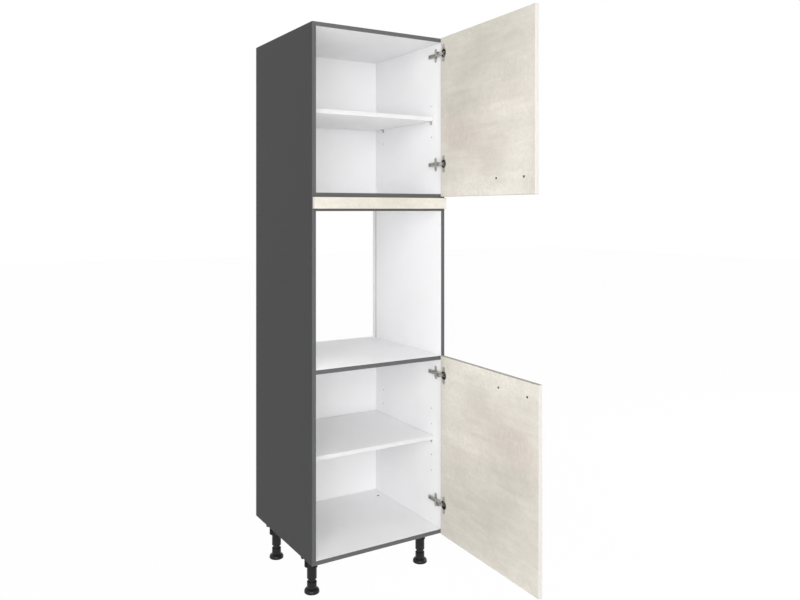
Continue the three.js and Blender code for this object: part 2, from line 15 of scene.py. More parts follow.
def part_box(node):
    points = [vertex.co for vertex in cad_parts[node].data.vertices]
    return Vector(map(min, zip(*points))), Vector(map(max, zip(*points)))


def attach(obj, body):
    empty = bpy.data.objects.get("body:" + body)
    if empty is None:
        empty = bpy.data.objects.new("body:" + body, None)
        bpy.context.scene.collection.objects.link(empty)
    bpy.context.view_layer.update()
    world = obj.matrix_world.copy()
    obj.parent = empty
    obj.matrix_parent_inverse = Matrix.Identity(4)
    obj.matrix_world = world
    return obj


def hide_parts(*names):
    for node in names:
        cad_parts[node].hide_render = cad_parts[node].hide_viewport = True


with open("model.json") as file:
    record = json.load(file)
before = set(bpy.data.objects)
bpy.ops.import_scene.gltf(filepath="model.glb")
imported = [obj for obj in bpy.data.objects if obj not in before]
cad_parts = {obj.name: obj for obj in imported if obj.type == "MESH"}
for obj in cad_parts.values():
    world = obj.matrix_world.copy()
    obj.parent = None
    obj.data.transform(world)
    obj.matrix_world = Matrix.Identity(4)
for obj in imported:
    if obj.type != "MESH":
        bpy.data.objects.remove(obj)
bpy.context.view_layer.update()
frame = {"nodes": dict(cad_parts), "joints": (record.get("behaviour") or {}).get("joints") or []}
nodes = frame["nodes"]

# ---------------------------------------------------------------- side panels
# 16 mm chipboard with a pressed melamine facing, anthracite outside and white inside. A thin anthracite
# ABS band is glued on the front, top and bottom edges; the bare chips show behind and in the holes.

MM = 0.001
BAND = 0.9 * MM             # how far an edge band shows on the board's face, with its glue line
FACING = 0.3 * MM           # how near to a facing a wall still belongs to it
BOARD_EASE = 0.5 * MM       # rounding of a board's edges
BOARD_EDGE = math.radians(60)   # a bend this sharp is an edge of a board
FLAT = math.radians(0.5)    # faces that differ by less lie in one plane
ONE_POINT = 0.001 * MM      # corners of the loose triangles that lie nearer are one
ANTHRACITE = 0x464647
ANTHRACITE_BAND = 0x5E5E5F
WHITE_FACING = 0xF8F8F9
CHIPS_LIGHT = 0xA99272
CHIPS_DARK = 0x6E563A
CHIP = 2.2 * MM             # width of a wood particle
PRESS_CLOUD = 140 * MM      # width of the faint unevenness left by the press
PEARL = 1.6 * MM            # grain of the pressed texture, coarser than the real one so that it shows
PEARL_DEPTH = 0.03 * MM
MIX_A, MIX_B, MIXED = 6, 7, 2   # the colour sockets of a Mix node


def linear(colour):
    """The linear colour, with alpha, of an sRGB value written in hex."""
    parts = [(colour >> shift & 255) / 255 for shift in (16, 8, 0)]
    return (*(c / 12.92 if c <= 0.04045 else ((c + 0.055) / 1.055) ** 2.4 for c in parts), 1.0)


def add(tree, kind, inputs, **settings):
    """Adds a shader node; each input is a value, or the output of another node."""
    made = tree.nodes.new("ShaderNode" + kind)
    for setting, value in settings.items():
        setattr(made, setting, value)
    for socket, value in inputs.items():
        if isinstance(value, bpy.types.NodeSocket):
            tree.links.new(value, made.inputs[socket])
        else:
            made.inputs[socket].default_value = value
    return made


def begin_material(name, roughness, metallic=0.0, gloss=0.5):
    """A new material, its tree, its shader, and the point of the surface in the piece's own frame."""
    material = bpy.data.materials.new(name)
    material.use_nodes = True
    tree = material.node_tree
    shader = tree.nodes["Principled BSDF"]
    shader.inputs["Roughness"].default_value = roughness
    shader.inputs["Metallic"].default_value = metallic
    shader.inputs["Specular IOR Level"].default_value = gloss
    return material, tree, shader, add(tree, "TexCoord", {}).outputs["Object"]


def coated(tree, ground, *coats):
    """A ground colour under several coats, each laid on where its mask is one."""
    for mask, coat in coats:
        ground = add(tree, "Mix", {0: mask, MIX_A: ground, MIX_B: coat}, data_type="RGBA").outputs[MIXED]
    return ground


def sum_of(tree, start, *terms):
    """A start value plus several outputs, each with its weight."""
    total = start
    for value, weight in terms:
        total = add(tree, "Math", {0: value, 1: weight, 2: total}, operation="MULTIPLY_ADD").outputs[0]
    return total


def patches(tree, point, size, detail=2.0, stretch=(1, 1, 1), shift=(0, 0, 0), warp=0.0, rough=0.5):
    """Soft patches of about the given size, drawn out along the axes by the stretch."""
    scale = tuple(1 / s for s in stretch)
    placed = add(tree, "Mapping", {"Vector": point, "Location": shift, "Scale": scale}).outputs[0]
    values = {"Vector": placed, "Scale": 1 / size, "Detail": detail, "Distortion": warp, "Roughness": rough}
    return add(tree, "TexNoise", values).outputs[0]


def tinted(tree, shader, colour, shade):
    """Gives a shader this colour, lightened and darkened by an uneven grey."""
    uneven = add(tree, "Mix", {0: 1.0, MIX_A: colour, MIX_B: shade}, data_type="RGBA", blend_type="MULTIPLY")
    tree.links.new(uneven.outputs[MIXED], shader.inputs["Base Color"])


def embossed(tree, shader, height, depth, strength):
    """Gives a shader's surface the relief of a pattern."""
    bump = add(tree, "Bump", {"Height": height, "Distance": depth, "Strength": strength})
    tree.links.new(bump.outputs[0], shader.inputs["Normal"])


def masks(tree, *spans):
    """For each value, its middle and its reach, a mask that is one where the value lies within reach."""
    return [add(tree, "Math", {0: value, 1: middle, 2: reach}, operation="COMPARE").outputs[0]
            for value, middle, reach in spans]


def bare_chips(tree, point):
    """The colour of cut chipboard: pressed wood particles of several browns."""
    chips = add(tree, "TexVoronoi", {"Vector": point, "Scale": 1 / CHIP}).outputs["Color"]
    tone = add(tree, "SeparateXYZ", {0: chips}).outputs[0]
    return coated(tree, linear(CHIPS_LIGHT), (tone, linear(CHIPS_DARK)))


def pressed(tree, point, shader, colour):
    """Gives a shader this colour, a little uneven, and the fine pearl texture of pressed melamine."""
    tinted(tree, shader, colour, sum_of(tree, 0.97, (patches(tree, point, PRESS_CLOUD, 3), 0.06)))
    embossed(tree, shader, patches(tree, point, PEARL, 3), PEARL_DEPTH, 0.35)


def side_melamine():
    """Melamine-faced chipboard, pressed to a satin pearl: broad, dull highlights, and two plain colours
    that meet only at the edge bands."""
    material, tree, shader, point = begin_material("melamine_chipboard_anthracite_and_white", 0.5, gloss=0.06)
    low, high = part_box("side_panel_right")
    middle, half = (low + high) / 2, (high - low) / 2
    at = add(tree, "SeparateXYZ", {0: point}).outputs
    depth = add(tree, "Math", {0: at["X"]}, operation="ABSOLUTE").outputs[0]
    inside, cut, behind_band, off_ends = masks(
        tree, (depth, low.x, FACING), (depth, middle.x, half.x - FACING),
        (at["Y"], high.y, 2 * half.y - BAND), (at["Z"], middle.z, half.z - BAND))
    off_bands = add(tree, "Math", {0: behind_band, 1: off_ends}, operation="MULTIPLY").outputs[0]
    board = coated(tree, linear(ANTHRACITE), (inside, linear(WHITE_FACING)), (cut, bare_chips(tree, point)))
    pressed(tree, point, shader, coated(tree, linear(ANTHRACITE_BAND), (off_bands, board)))
    return material


def eased(made, width, bend, **settings):
    """Rounds the edges at which a piece's faces bend by more than this angle."""
    bevel = made.modifiers.new("eased", "BEVEL")
    settings.update(width=width, segments=2, profile=0.5, material=-1, limit_method="ANGLE", angle_limit=bend)
    for setting, value in settings.items():
        setattr(bevel, setting, value)


def dressed(names, material, ease):
    """Gives CAD boards their finish. Their loose triangles are joined, and their edges are rounded."""
    for name in names:
        board = nodes[name]
        board.data.materials.clear()
        board.data.materials.append(material)
        board.modifiers.new("joined", "WELD").merge_threshold = ONE_POINT
        flat = board.modifiers.new("flattened", "DECIMATE")
        flat.decimate_type = "DISSOLVE"
        flat.angle_limit = FLAT
        eased(board, ease, BOARD_EDGE, use_clamp_overlap=False)


dressed(["side_panel_left", "side_panel_right"], side_melamine(), BOARD_EASE)

# ---------------------------------------------------------------- floors and top
# Five boards between the sides, white on both faces, with the anthracite band on the front edge only.
# They are held by dowels and hidden cam fittings.

UPRIGHT = 0.4               # a wall whose normal rises less than this stands upright


def white_melamine(name, board, front_band):
    """White melamine, satin. The walls cut into a board, such as an access hole, and its rear edge
    show the bare chips."""
    material, tree, shader, point = begin_material(name, 0.5, gloss=0.2)
    low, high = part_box(board)
    deep = add(tree, "SeparateXYZ", {0: point}).outputs["Y"]
    rise = add(tree, "SeparateXYZ", {0: add(tree, "TexCoord", {}).outputs["Normal"]}).outputs["Z"]
    cut, behind_band = masks(tree, (rise, 0.0, UPRIGHT), (deep, high.y, high.y - low.y - BAND))
    whole = coated(tree, linear(WHITE_FACING), (cut, bare_chips(tree, point)))
    pressed(tree, point, shader, coated(tree, linear(front_band), (behind_band, whole)))
    return material


cross_boards = ["bottom_panel", "niche_floor_panel", "niche_top_panel", "upper_floor_panel", "top_panel"]
dressed(cross_boards, white_melamine("melamine_chipboard_white", "top_panel", ANTHRACITE_BAND), BOARD_EASE)

# ---------------------------------------------------------------- back panels
# 3 mm hardboard slid into the grooves, lacquered white towards the room and left bare towards the
# wall, where the brown fibres show.

FIBRE_LIGHT = 0xA98358
FIBRE_DARK = 0x7C5A38
FIBRE = 1.5 * MM
FIBRE_CLOUD = 90 * MM       # width of a lighter or darker area of the bare side
BACK_EASE = 0.2 * MM


def lacquered_hardboard():
    """High-density fibreboard: smooth lacquer in front, dull speckled brown fibres behind."""
    material, tree, shader, point = begin_material("lacquered_hardboard", 0.5, gloss=0.2)
    deep = add(tree, "SeparateXYZ", {0: point}).outputs["Y"]
    in_front = masks(tree, (deep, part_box("lower_back_panel")[0].y, FACING))[0]
    tone = sum_of(tree, -0.2, (patches(tree, point, FIBRE, 4, stretch=(3, 1, 1)), 0.9),
                  (patches(tree, point, FIBRE_CLOUD, 3), 0.5))
    brown = coated(tree, linear(FIBRE_DARK), (tone, linear(FIBRE_LIGHT)))
    pressed(tree, point, shader, coated(tree, brown, (in_front, linear(WHITE_FACING))))
    return material


dressed(["lower_back_panel", "upper_back_panel"], lacquered_hardboard(), BACK_EASE)

# ---------------------------------------------------------------- filler rail
# A strip of door board that closes the gap between the upper door and the oven, screwed on from behind.
# It has the doors' decor foil, printed like pale trowelled concrete, and matching edge bands.

DECOR_CREAM = 0xDFDAD0
DECOR_LIGHT = 0xEAE5DB
DECOR_GREY = 0xC9C4B9
DECOR_ROSE = 0xD9D0C6
DECOR_BAND = 0xD8D4CE
DECOR_END_BAND_SHADE = 0xA29D91   # painted shade: the band on a board's top and bottom ends is coloured darker
DECOR_EASE = 0.7 * MM
CLOUD = 260 * MM            # width of a soft cloud of the print
ROSE_CLOUD = 170 * MM
TROWEL_LINE = 26 * MM       # spacing of the long level trowel lines
TROWEL_STREAK = 8 * MM      # spacing of the short upright streaks
SMUDGE = 65 * MM            # width of a smear left by the trowel
MOTTLE = 15 * MM
SPECK = 5 * MM
DECOR_RELIEF = 0.08 * MM
DOOR_BOARD = 16 * MM
rail_low, rail_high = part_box("filler_rail")
DOOR_WIDTH = rail_high.x - rail_low.x   # the rail is as wide as a door


def patch(tree, across, up, middle, reach):
    """A soft round patch of the print: one in its middle, fading to nought at its edge."""
    sides = [add(tree, "MapRange", {0: value, 1: m - r, 2: m + r, 3: -1.0, 4: 1.0}, clamp=False).outputs[0]
             for value, m, r in zip((across, up), middle, reach)]
    away = add(tree, "VectorMath", {0: add(tree, "CombineXYZ", {0: sides[0], 1: sides[1]}).outputs[0]},
               operation="LENGTH").outputs["Value"]
    return add(tree, "MapRange", {0: away, 1: 1.0, 2: 0.0}, interpolation_type="SMOOTHSTEP").outputs[0]


def concrete_foil(name, board, corner, turn, start, flow):
    """Decor foil with a matt lacquer: grey and rose clouds on cream, long level trowel lines, short
    upright streaks and a fine mottle. The corner and turn are the board's own, and start and flow
    say where its print begins and which way it runs."""
    material, tree, shader, point = begin_material(name, 0.6, gloss=0.2)
    along = add(tree, "Mapping", {"Vector": point, "Location": corner, "Rotation": (0, 0, turn)},
                vector_type="TEXTURE").outputs[0]
    print_at = add(tree, "Mapping", {"Vector": along, "Location": start, "Scale": flow}).outputs[0]
    placed = add(tree, "SeparateXYZ", {0: print_at}).outputs

    # The sheet's large forms, each with its middle and its reach: a rose field low down with pale ones
    # below and beside it, and grey above.
    fields = {
        "rose": [((0.24, 0.20), (0.38, 0.19)), ((0.47, 0.33), (0.20, 0.06)), ((0.12, 0.26), (0.20, 0.10))],
        "light": [((0.30, 0.02), (0.55, 0.10)), ((0.50, 0.14), (0.16, 0.16)), ((0.46, 0.31), (0.26, 0.06))],
        "grey": [((0.30, 0.52), (0.55, 0.24)), ((0.10, 0.36), (0.28, 0.12))],
    }
    strength = {kind: sum_of(tree, 0.0, *((patch(tree, placed["X"], placed["Z"], *spot), 1.0)
                                          for spot in spots)) for kind, spots in fields.items()}
    cloud = patches(tree, print_at, CLOUD, 6, (1.5, 1, 1), warp=0.4, rough=0.68)
    rose_cloud = patches(tree, print_at, ROSE_CLOUD, 5, (1.7, 1, 1), (3, 0, 7), warp=0.3, rough=0.62)
    lines = patches(tree, print_at, TROWEL_LINE, 5, (9, 1, 1), warp=0.7)
    streaks = patches(tree, print_at, TROWEL_STREAK, 3, (1, 1, 7), warp=0.8)
    smudges = patches(tree, print_at, SMUDGE, 5, (1.4, 1, 1), (5, 0, 2), warp=1.2, rough=0.6)
    mottle = patches(tree, print_at, MOTTLE, 7, rough=0.6)
    specks = patches(tree, print_at, SPECK, 3)

    grey = sum_of(tree, -1.7, (cloud, 1.6), (strength["grey"], 0.6), (lines, 1.6), (mottle, 0.6))
    rose = sum_of(tree, -2.2, (rose_cloud, 1.6), (strength["rose"], 0.9), (lines, 1.7), (mottle, 0.8))
    light = sum_of(tree, -1.45, (cloud, -0.9), (strength["light"], 0.9), (rose_cloud, 1.2), (lines, 1.5),
                   (mottle, 0.8))
    colour = coated(tree, linear(DECOR_CREAM), *(
        (add(tree, "Clamp", {0: amount}).outputs[0], linear(tint))
        for amount, tint in ((grey, DECOR_GREY), (rose, DECOR_ROSE), (light, DECOR_LIGHT))))
    drawn = add(tree, "Math", {0: rose, 1: streaks}, operation="MULTIPLY", use_clamp=True).outputs[0]
    shade = sum_of(tree, 0.61, (mottle, 0.28), (specks, 0.22), (lines, 0.12), (smudges, 0.2), (drawn, -0.16))
    colour = add(tree, "Mix", {0: 1.0, MIX_A: colour, MIX_B: shade}, data_type="RGBA",
                 blend_type="MULTIPLY").outputs[MIXED]

    low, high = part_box(board)
    own = add(tree, "SeparateXYZ", {0: along}).outputs
    cut, off_sides, off_ends = masks(
        tree, (own["Y"], -DOOR_BOARD / 2, DOOR_BOARD / 2 - 2 * FACING),
        (own["X"], -DOOR_WIDTH / 2, DOOR_WIDTH / 2 - BAND),
        (own["Z"], (low.z + high.z) / 2, (high.z - low.z) / 2 - BAND))
    board_colour = coated(tree, colour, (cut, bare_chips(tree, point)))
    between_sides = coated(tree, linear(DECOR_BAND), (off_sides, board_colour))
    # The bands on the top and bottom ends get a darker colour: painted shade along those edges.
    with_shaded_ends = coated(tree, linear(DECOR_END_BAND_SHADE), (off_ends, between_sides))
    tree.links.new(with_shaded_ends, shader.inputs["Base Color"])
    embossed(tree, shader, sum_of(tree, 0.0, (mottle, 1.0), (specks, 0.5), (lines, 0.6)), DECOR_RELIEF, 0.4)
    return material


rail_foil = concrete_foil("concrete_decor_foil_rail", "filler_rail", (rail_high.x, rail_high.y, 0.0), 0.0,
                          (0.0, 0.0, 0.5 - rail_low.z), (-1, 1, 1))
dressed(["filler_rail"], rail_foil, DECOR_EASE)

# ---------------------------------------------------------------- shelves
# Two loose boards of the same melamine-faced chipboard, with a white band in front. Each lies on four
# supports.

SHELF_BAND = 0xDCDCDD
shelf_melamine = white_melamine("melamine_chipboard_white_banded", "upper_shelf", SHELF_BAND)
dressed(["upper_shelf", "lower_shelf"], shelf_melamine, BOARD_EASE)

# ---------------------------------------------------------------- shelf supports
# Small nickel-plated steel brackets: a pin in the shelf hole, a plate against the side panel, and a
# tongue under the shelf, stiffened by a web.

SUPPORT_WIDTH = 11          # along the depth of the unit
SUPPORT_PLATE = 2
SUPPORT_EASE = 0.3
TONGUE_THICKNESS = 1.8
WEB_THICKNESS = 2.4
WEB_HEIGHT = 9
WEB_SETBACK = 1             # from the end of the tongue
SUPPORT_PIN_RADIUS = 2.2
SUPPORT_PIN_LENGTH = 10
SUPPORT_PIN_ROOT = 1        # how far it reaches into the plate
SUPPORT_PIN_TAPER = (0.5, 0.8)  # across and along its tip
support_low, support_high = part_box("upper_shelf_support_front_left")
SUPPORT_HEIGHT = (support_high.z - support_low.z) / MM
TONGUE_END = (support_high.x - support_low.x) / MM - SUPPORT_PIN_LENGTH
CREASE = math.radians(35)   # a bend this sharp is an edge of a small piece
NICKEL = 0xBFBCB5
NICKEL_CLOUD = 4 * MM
SCRATCH = 0.8 * MM
SCRATCH_DEPTH = 0.01 * MM


def nickel_plate():
    """Pressed steel with a bright nickel plating: soft mirror highlights, slightly warm and cloudy."""
    material, tree, shader, point = begin_material("nickel_plated_steel", 0.36, metallic=1.0)
    cloud = patches(tree, point, NICKEL_CLOUD, 3)
    tinted(tree, shader, linear(NICKEL), sum_of(tree, 0.9, (cloud, 0.16)))
    tree.links.new(sum_of(tree, 0.26, (cloud, 0.2)), shader.inputs["Roughness"])
    embossed(tree, shader, patches(tree, point, SCRATCH, 2, stretch=(1, 6, 1)), SCRATCH_DEPTH, 0.3)
    return material


def block(x, y, z):
    """A block between two faces on each axis."""
    shape = bmesh.new()
    bmesh.ops.create_cube(shape, size=1)
    low, high = (Vector(ends) for ends in zip(x, y, z))
    size = Matrix.Diagonal((*(high - low), 1))
    bmesh.ops.transform(shape, matrix=Matrix.Translation((low + high) / 2) @ size, verts=shape.verts)
    return shape


def about(middle, size):
    """The two ends of a size that lies evenly about its middle."""
    return middle - size / 2, middle + size / 2


def sheet(outline, z):
    """An outline of (x, y) points cut from material that reaches between two heights."""
    shape = bmesh.new()
    face = shape.faces.new([shape.verts.new((*corner, z[0])) for corner in outline])
    lifted = bmesh.ops.extrude_face_region(shape, geom=[face])["geom"]
    top = [part for part in lifted if isinstance(part, bmesh.types.BMVert)]
    bmesh.ops.translate(shape, vec=(0, 0, z[1] - z[0]), verts=top)
    bmesh.ops.recalc_face_normals(shape, faces=shape.faces)
    return shape


def turned(profile, steps=32):
    """A shape turned on the upright axis from a profile of (radius, height) points."""
    shape = bmesh.new()
    points = [shape.verts.new((radius, 0, height)) for radius, height in profile]
    lines = [shape.edges.new(pair) for pair in zip(points, points[1:])]
    bmesh.ops.spin(shape, geom=points + lines, axis=(0, 0, 1), cent=(0, 0, 0), angle=math.tau,
                   steps=steps, use_merge=True)
    bmesh.ops.remove_doubles(shape, verts=shape.verts, dist=0.001)
    bmesh.ops.recalc_face_normals(shape, faces=shape.faces)
    return shape


def moved(shape, *places):
    """The shape, taken through each place in turn."""
    for place in places:
        bmesh.ops.transform(shape, matrix=place, verts=shape.verts)
    return shape


def joined(*shapes):
    """Several shapes as one."""
    whole = bmesh.new()
    passed = bpy.data.meshes.new("passed")
    for shape in shapes:
        shape.to_mesh(passed)
        shape.free()
        whole.from_mesh(passed)
    bpy.data.meshes.remove(passed)
    return whole


def as_object(shape, name):
    """Makes an object of a shape, which is used up."""
    mesh = bpy.data.meshes.new(name)
    shape.to_mesh(mesh)
    shape.free()
    made = bpy.data.objects.new(name, mesh)
    bpy.context.scene.collection.objects.link(made)
    return made


def piece(name, shape, place, body, material, ease=0.0):
    """Makes a piece of the unit from a shape in millimetres. Its place goes into its mesh, and its edges
    are eased."""
    bmesh.ops.transform(shape, matrix=place @ Matrix.Scale(MM, 4), verts=shape.verts)
    if place.determinant() < 0:
        bmesh.ops.recalc_face_normals(shape, faces=shape.faces)
    for face in shape.faces:
        face.smooth = True
    for edge in shape.edges:
        edge.smooth = len(edge.link_faces) == 2 and edge.calc_face_angle() < CREASE
    made = as_object(shape, name)
    made.data.materials.append(material)
    if ease:
        eased(made, ease * MM, CREASE, harden_normals=True)
    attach(made, body)
    return made


def support_bracket():
    """Drawn from the face of the right-hand panel and the underside of the shelf: x runs into the unit
    and z up."""
    upright = Matrix.Rotation(math.radians(90), 4, "X")
    angle = sheet([(0, 0), (TONGUE_END, 0), (TONGUE_END, -TONGUE_THICKNESS),
                   (SUPPORT_PLATE, -TONGUE_THICKNESS), (SUPPORT_PLATE, -SUPPORT_HEIGHT),
                   (0, -SUPPORT_HEIGHT)], about(0, SUPPORT_WIDTH))
    web = sheet([(SUPPORT_PLATE, -TONGUE_THICKNESS), (TONGUE_END - WEB_SETBACK, -TONGUE_THICKNESS),
                 (SUPPORT_PLATE, -WEB_HEIGHT)], about(0, WEB_THICKNESS))
    across, along = SUPPORT_PIN_TAPER
    pin = turned([(0, -SUPPORT_PIN_ROOT), (SUPPORT_PIN_RADIUS, -SUPPORT_PIN_ROOT),
                  (SUPPORT_PIN_RADIUS, SUPPORT_PIN_LENGTH - along),
                  (SUPPORT_PIN_RADIUS - across, SUPPORT_PIN_LENGTH), (0, SUPPORT_PIN_LENGTH)], 24)
    moved(pin, Matrix.Rotation(math.radians(-90), 4, "Y"), Matrix.Translation((0, 0, -SUPPORT_PIN_RADIUS)))
    return joined(moved(angle, upright), moved(web, upright), pin)


nickel = nickel_plate()
for name in [name for name in nodes if "_support_" in name]:
    low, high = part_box(name)
    left = low.x < 0
    pin_tip = low.x if left else high.x
    wall_face = pin_tip + SUPPORT_PIN_LENGTH * MM * (1 if left else -1)
    place = Matrix.Translation((wall_face, (low.y + high.y) / 2, high.z))
    if not left:
        place = place @ Matrix.Scale(-1, 4, (1, 0, 0))
    bracket = piece(f"{name}_bracket", support_bracket(), place, "carcass", nickel,
                    SUPPORT_EASE)
    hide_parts(name)

# ---------------------------------------------------------------- legs
# Black moulded ABS. A socket is screwed under the bottom panel, a tube is plugged into it, and a foot
# turns on its spindle in the tube to level the unit.

SOCKET_PLATE = 72
SOCKET_THICKNESS = 5
SOCKET_CORNER = 12
SOCKET_EASE = 0.4
SOCKET_WALL = 3
SOCKET_LEAD = 1             # bevel at the mouth of the bore
SOCKET_EDGE = 0.6           # bevel round the outside of the mouth
EAR_WIDTH = 34
EAR_FACES = (-4.6, -0.1)    # heights of an ear's two faces, just within those of the plate
EAR_LIP = 12                # how far the lip at the end of an ear reaches down
LIP_WIDTH = 14
LIP_THICKNESS = 5
LIP_SETBACK = 3.5           # from the end of the ear to the middle of the lip
LIP_CORNER = 1.2
SHY = 0.1                   # a round end stops this short of a full half circle
RIB_REACH = 31
RIB_THICKNESS = 3
RIB_RISE = 2                # from the mouth of the socket to the foot of a rib
RIB_CHAMFER = 5
WINDOW_WIDTH = 6.4          # two slots right through the ring let it spring over the tube
WINDOW_LENGTH = 60
WINDOW_HEIGHTS = (-19, -12)
WINDOW_TURNS = (37, 127)
SOCKET_SCREWS = 54          # from one screw to the next
SOCKET_SCREW = (3.8, 2.4)   # radius and rise of the head
TUBE_RADIUS = 19
TUBE_BORE_RADIUS = 14.8
TUBE_CHAMFER = 1.5
TUBE_LEAD = (0.6, 1)        # bevel at the mouth of the bore, across and along
TUBE_SEAT = 0.3
ACCESS_RADIUS = 6
FOOT_RADIUS = 29.5
FOOT_EDGE = 1
FOOT_RIM = 5
FOOT_SHOULDER = 16
COLLAR_TOP = 41.5
COLLAR_WALL = 2
COLLAR_RECESS = 4
COLLAR_EASE = (0.5, 0.3)    # outside and inside
SPINDLE_RADIUS = 14.4
SPINDLE_CHAMFER = 2
BLACK_ABS = 0x1F1F20
ABS_CLOUD = 30 * MM
MOULD_GRAIN = 1.2 * MM
MOULD_DEPTH = 0.02 * MM
ZINC = 0xB9BABC
ZINC_CLOUD = 2 * MM
ZINC_EASE = 0.15

# The four legs are alike.
socket_low, socket_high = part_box("leg_socket_front_left")
tube_low, tube_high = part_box("leg_tube_front_left")
SOCKET_HEIGHT = (socket_high.z - socket_low.z) / MM
SOCKET_REACH = (socket_high.x - socket_low.x) / 2 / MM  # from the middle to the end of an ear
TUBE_BOTTOM, TUBE_TOP = tube_low.z / MM, tube_high.z / MM
TUBE_ROOF = TUBE_TOP - 9    # underside of the roof
FOOT_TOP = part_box("levelling_foot_front_left")[1].z / MM


def moulded_abs():
    """ABS moulded in polished tools: deep black with clear, slightly wavy highlights."""
    material, tree, shader, point = begin_material("moulded_abs_black", 0.22, gloss=0.2)
    cloud = patches(tree, point, ABS_CLOUD, 3)
    tinted(tree, shader, linear(BLACK_ABS), sum_of(tree, 0.85, (cloud, 0.3)))
    tree.links.new(sum_of(tree, 0.12, (cloud, 0.16)), shader.inputs["Roughness"])
    embossed(tree, shader, patches(tree, point, MOULD_GRAIN, 2), MOULD_DEPTH, 0.2)
    return material


def zinc_plate():
    """Zinc-plated screw steel: a bluish, fairly dull metal."""
    material, tree, shader, point = begin_material("zinc_plated_screw_steel", 0.38, metallic=1.0)
    tinted(tree, shader, linear(ZINC), sum_of(tree, 0.86, (patches(tree, point, ZINC_CLOUD, 3), 0.24)))
    return material


def rounded(shape, radius, axis, segments=6):
    """Rounds the edges that run along an axis."""
    along = [edge for edge in shape.edges
             if abs((edge.verts[1].co - edge.verts[0].co).normalized()[axis]) > 0.99]
    bmesh.ops.bevel(shape, geom=along, offset=radius, segments=segments, profile=0.5, affect="EDGES",
                    material=-1)
    bmesh.ops.remove_doubles(shape, verts=shape.verts, dist=0.001)
    return shape


def worked(holder, *helpers):
    """The shape as its object's modifiers leave it. The object and its helpers go."""
    result = bmesh.new()
    result.from_object(holder, bpy.context.evaluated_depsgraph_get())
    for held in (holder, *helpers):
        bpy.data.meshes.remove(held.data)
    return result


def carved(shape, *cutters):
    """The shape with the cutters taken away from it."""
    holder, *tools = (as_object(part, "carved") for part in (shape, *cutters))
    for tool in tools:
        cut = holder.modifiers.new("cut", "BOOLEAN")
        cut.operation = "DIFFERENCE"
        cut.solver = "EXACT"
        cut.object = tool
    return worked(holder, *tools)


def pan_head(radius, rise):
    """The head of a screw, which stands on its seat, with a cross recess."""
    dome = turned([(0, 0), (radius, 0), (radius, rise * 0.4), (radius * 0.86, rise * 0.78),
                   (radius * 0.5, rise * 0.97), (0, rise)])
    long, slim, deep = radius * 0.55, radius * 0.13, (rise * 0.3, rise + 1)
    return carved(dome, block((-long, long), (-slim, slim), deep), block((-slim, slim), (-long, long), deep))


def screws(size, turn, places):
    """The heads of like screws, each turned to stand on its seat."""
    return [moved(pan_head(*size), turn, Matrix.Translation(at)) for at in places]


def leg_socket():
    """Drawn from the underside of the bottom panel, on the middle of the leg."""
    square, bottom = about(0, SOCKET_PLATE), -SOCKET_HEIGHT
    plate = rounded(block(square, square, (-SOCKET_THICKNESS, 0)), SOCKET_CORNER, 2)
    ears = rounded(block((-SOCKET_REACH, SOCKET_REACH), about(0, EAR_WIDTH), EAR_FACES), EAR_WIDTH / 2 - SHY,
                   2, 10)
    lip_at = SOCKET_REACH - LIP_SETBACK
    lips = [rounded(block(about(x, LIP_THICKNESS), about(0, LIP_WIDTH), (-EAR_LIP, -SOCKET_THICKNESS + 1)),
                    LIP_CORNER, 2, 3) for x in (-lip_at, lip_at)]
    bore = TUBE_RADIUS + TUBE_SEAT
    outer = bore + SOCKET_WALL
    ring = turned([(bore, -SOCKET_THICKNESS), (bore, bottom + SOCKET_LEAD), (bore + SOCKET_LEAD, bottom),
                   (outer - SOCKET_EDGE, bottom), (outer, bottom + SOCKET_EDGE), (outer, -SOCKET_THICKNESS),
                   (bore, -SOCKET_THICKNESS)], 64)
    windows = [moved(block(about(0, WINDOW_LENGTH), about(0, WINDOW_WIDTH), WINDOW_HEIGHTS),
                     Matrix.Rotation(math.radians(turn), 4, "Z")) for turn in WINDOW_TURNS]
    low = bottom + RIB_RISE
    rib = [(outer - 1, -SOCKET_THICKNESS), (outer - 1, low), (RIB_REACH - RIB_CHAMFER, low),
           (RIB_REACH, low + RIB_CHAMFER), (RIB_REACH, -SOCKET_THICKNESS)]
    ribs = [moved(sheet(rib, about(0, RIB_THICKNESS)), Matrix.Rotation(math.radians(90), 4, "X"),
                  Matrix.Rotation(quarter * math.pi / 2, 4, "Z")) for quarter in range(4)]
    return joined(plate, ears, *lips, carved(ring, *windows), *ribs)


def leg_tube():
    """Open below for the spindle, with a hole on top for the screwdriver."""
    across, along = TUBE_LEAD
    return turned([(ACCESS_RADIUS, TUBE_ROOF), (TUBE_BORE_RADIUS, TUBE_ROOF),
                   (TUBE_BORE_RADIUS, TUBE_BOTTOM + along), (TUBE_BORE_RADIUS + across, TUBE_BOTTOM),
                   (TUBE_RADIUS - TUBE_CHAMFER, TUBE_BOTTOM), (TUBE_RADIUS, TUBE_BOTTOM + TUBE_CHAMFER),
                   (TUBE_RADIUS, TUBE_TOP), (ACCESS_RADIUS, TUBE_TOP), (ACCESS_RADIUS, TUBE_ROOF)], 64)


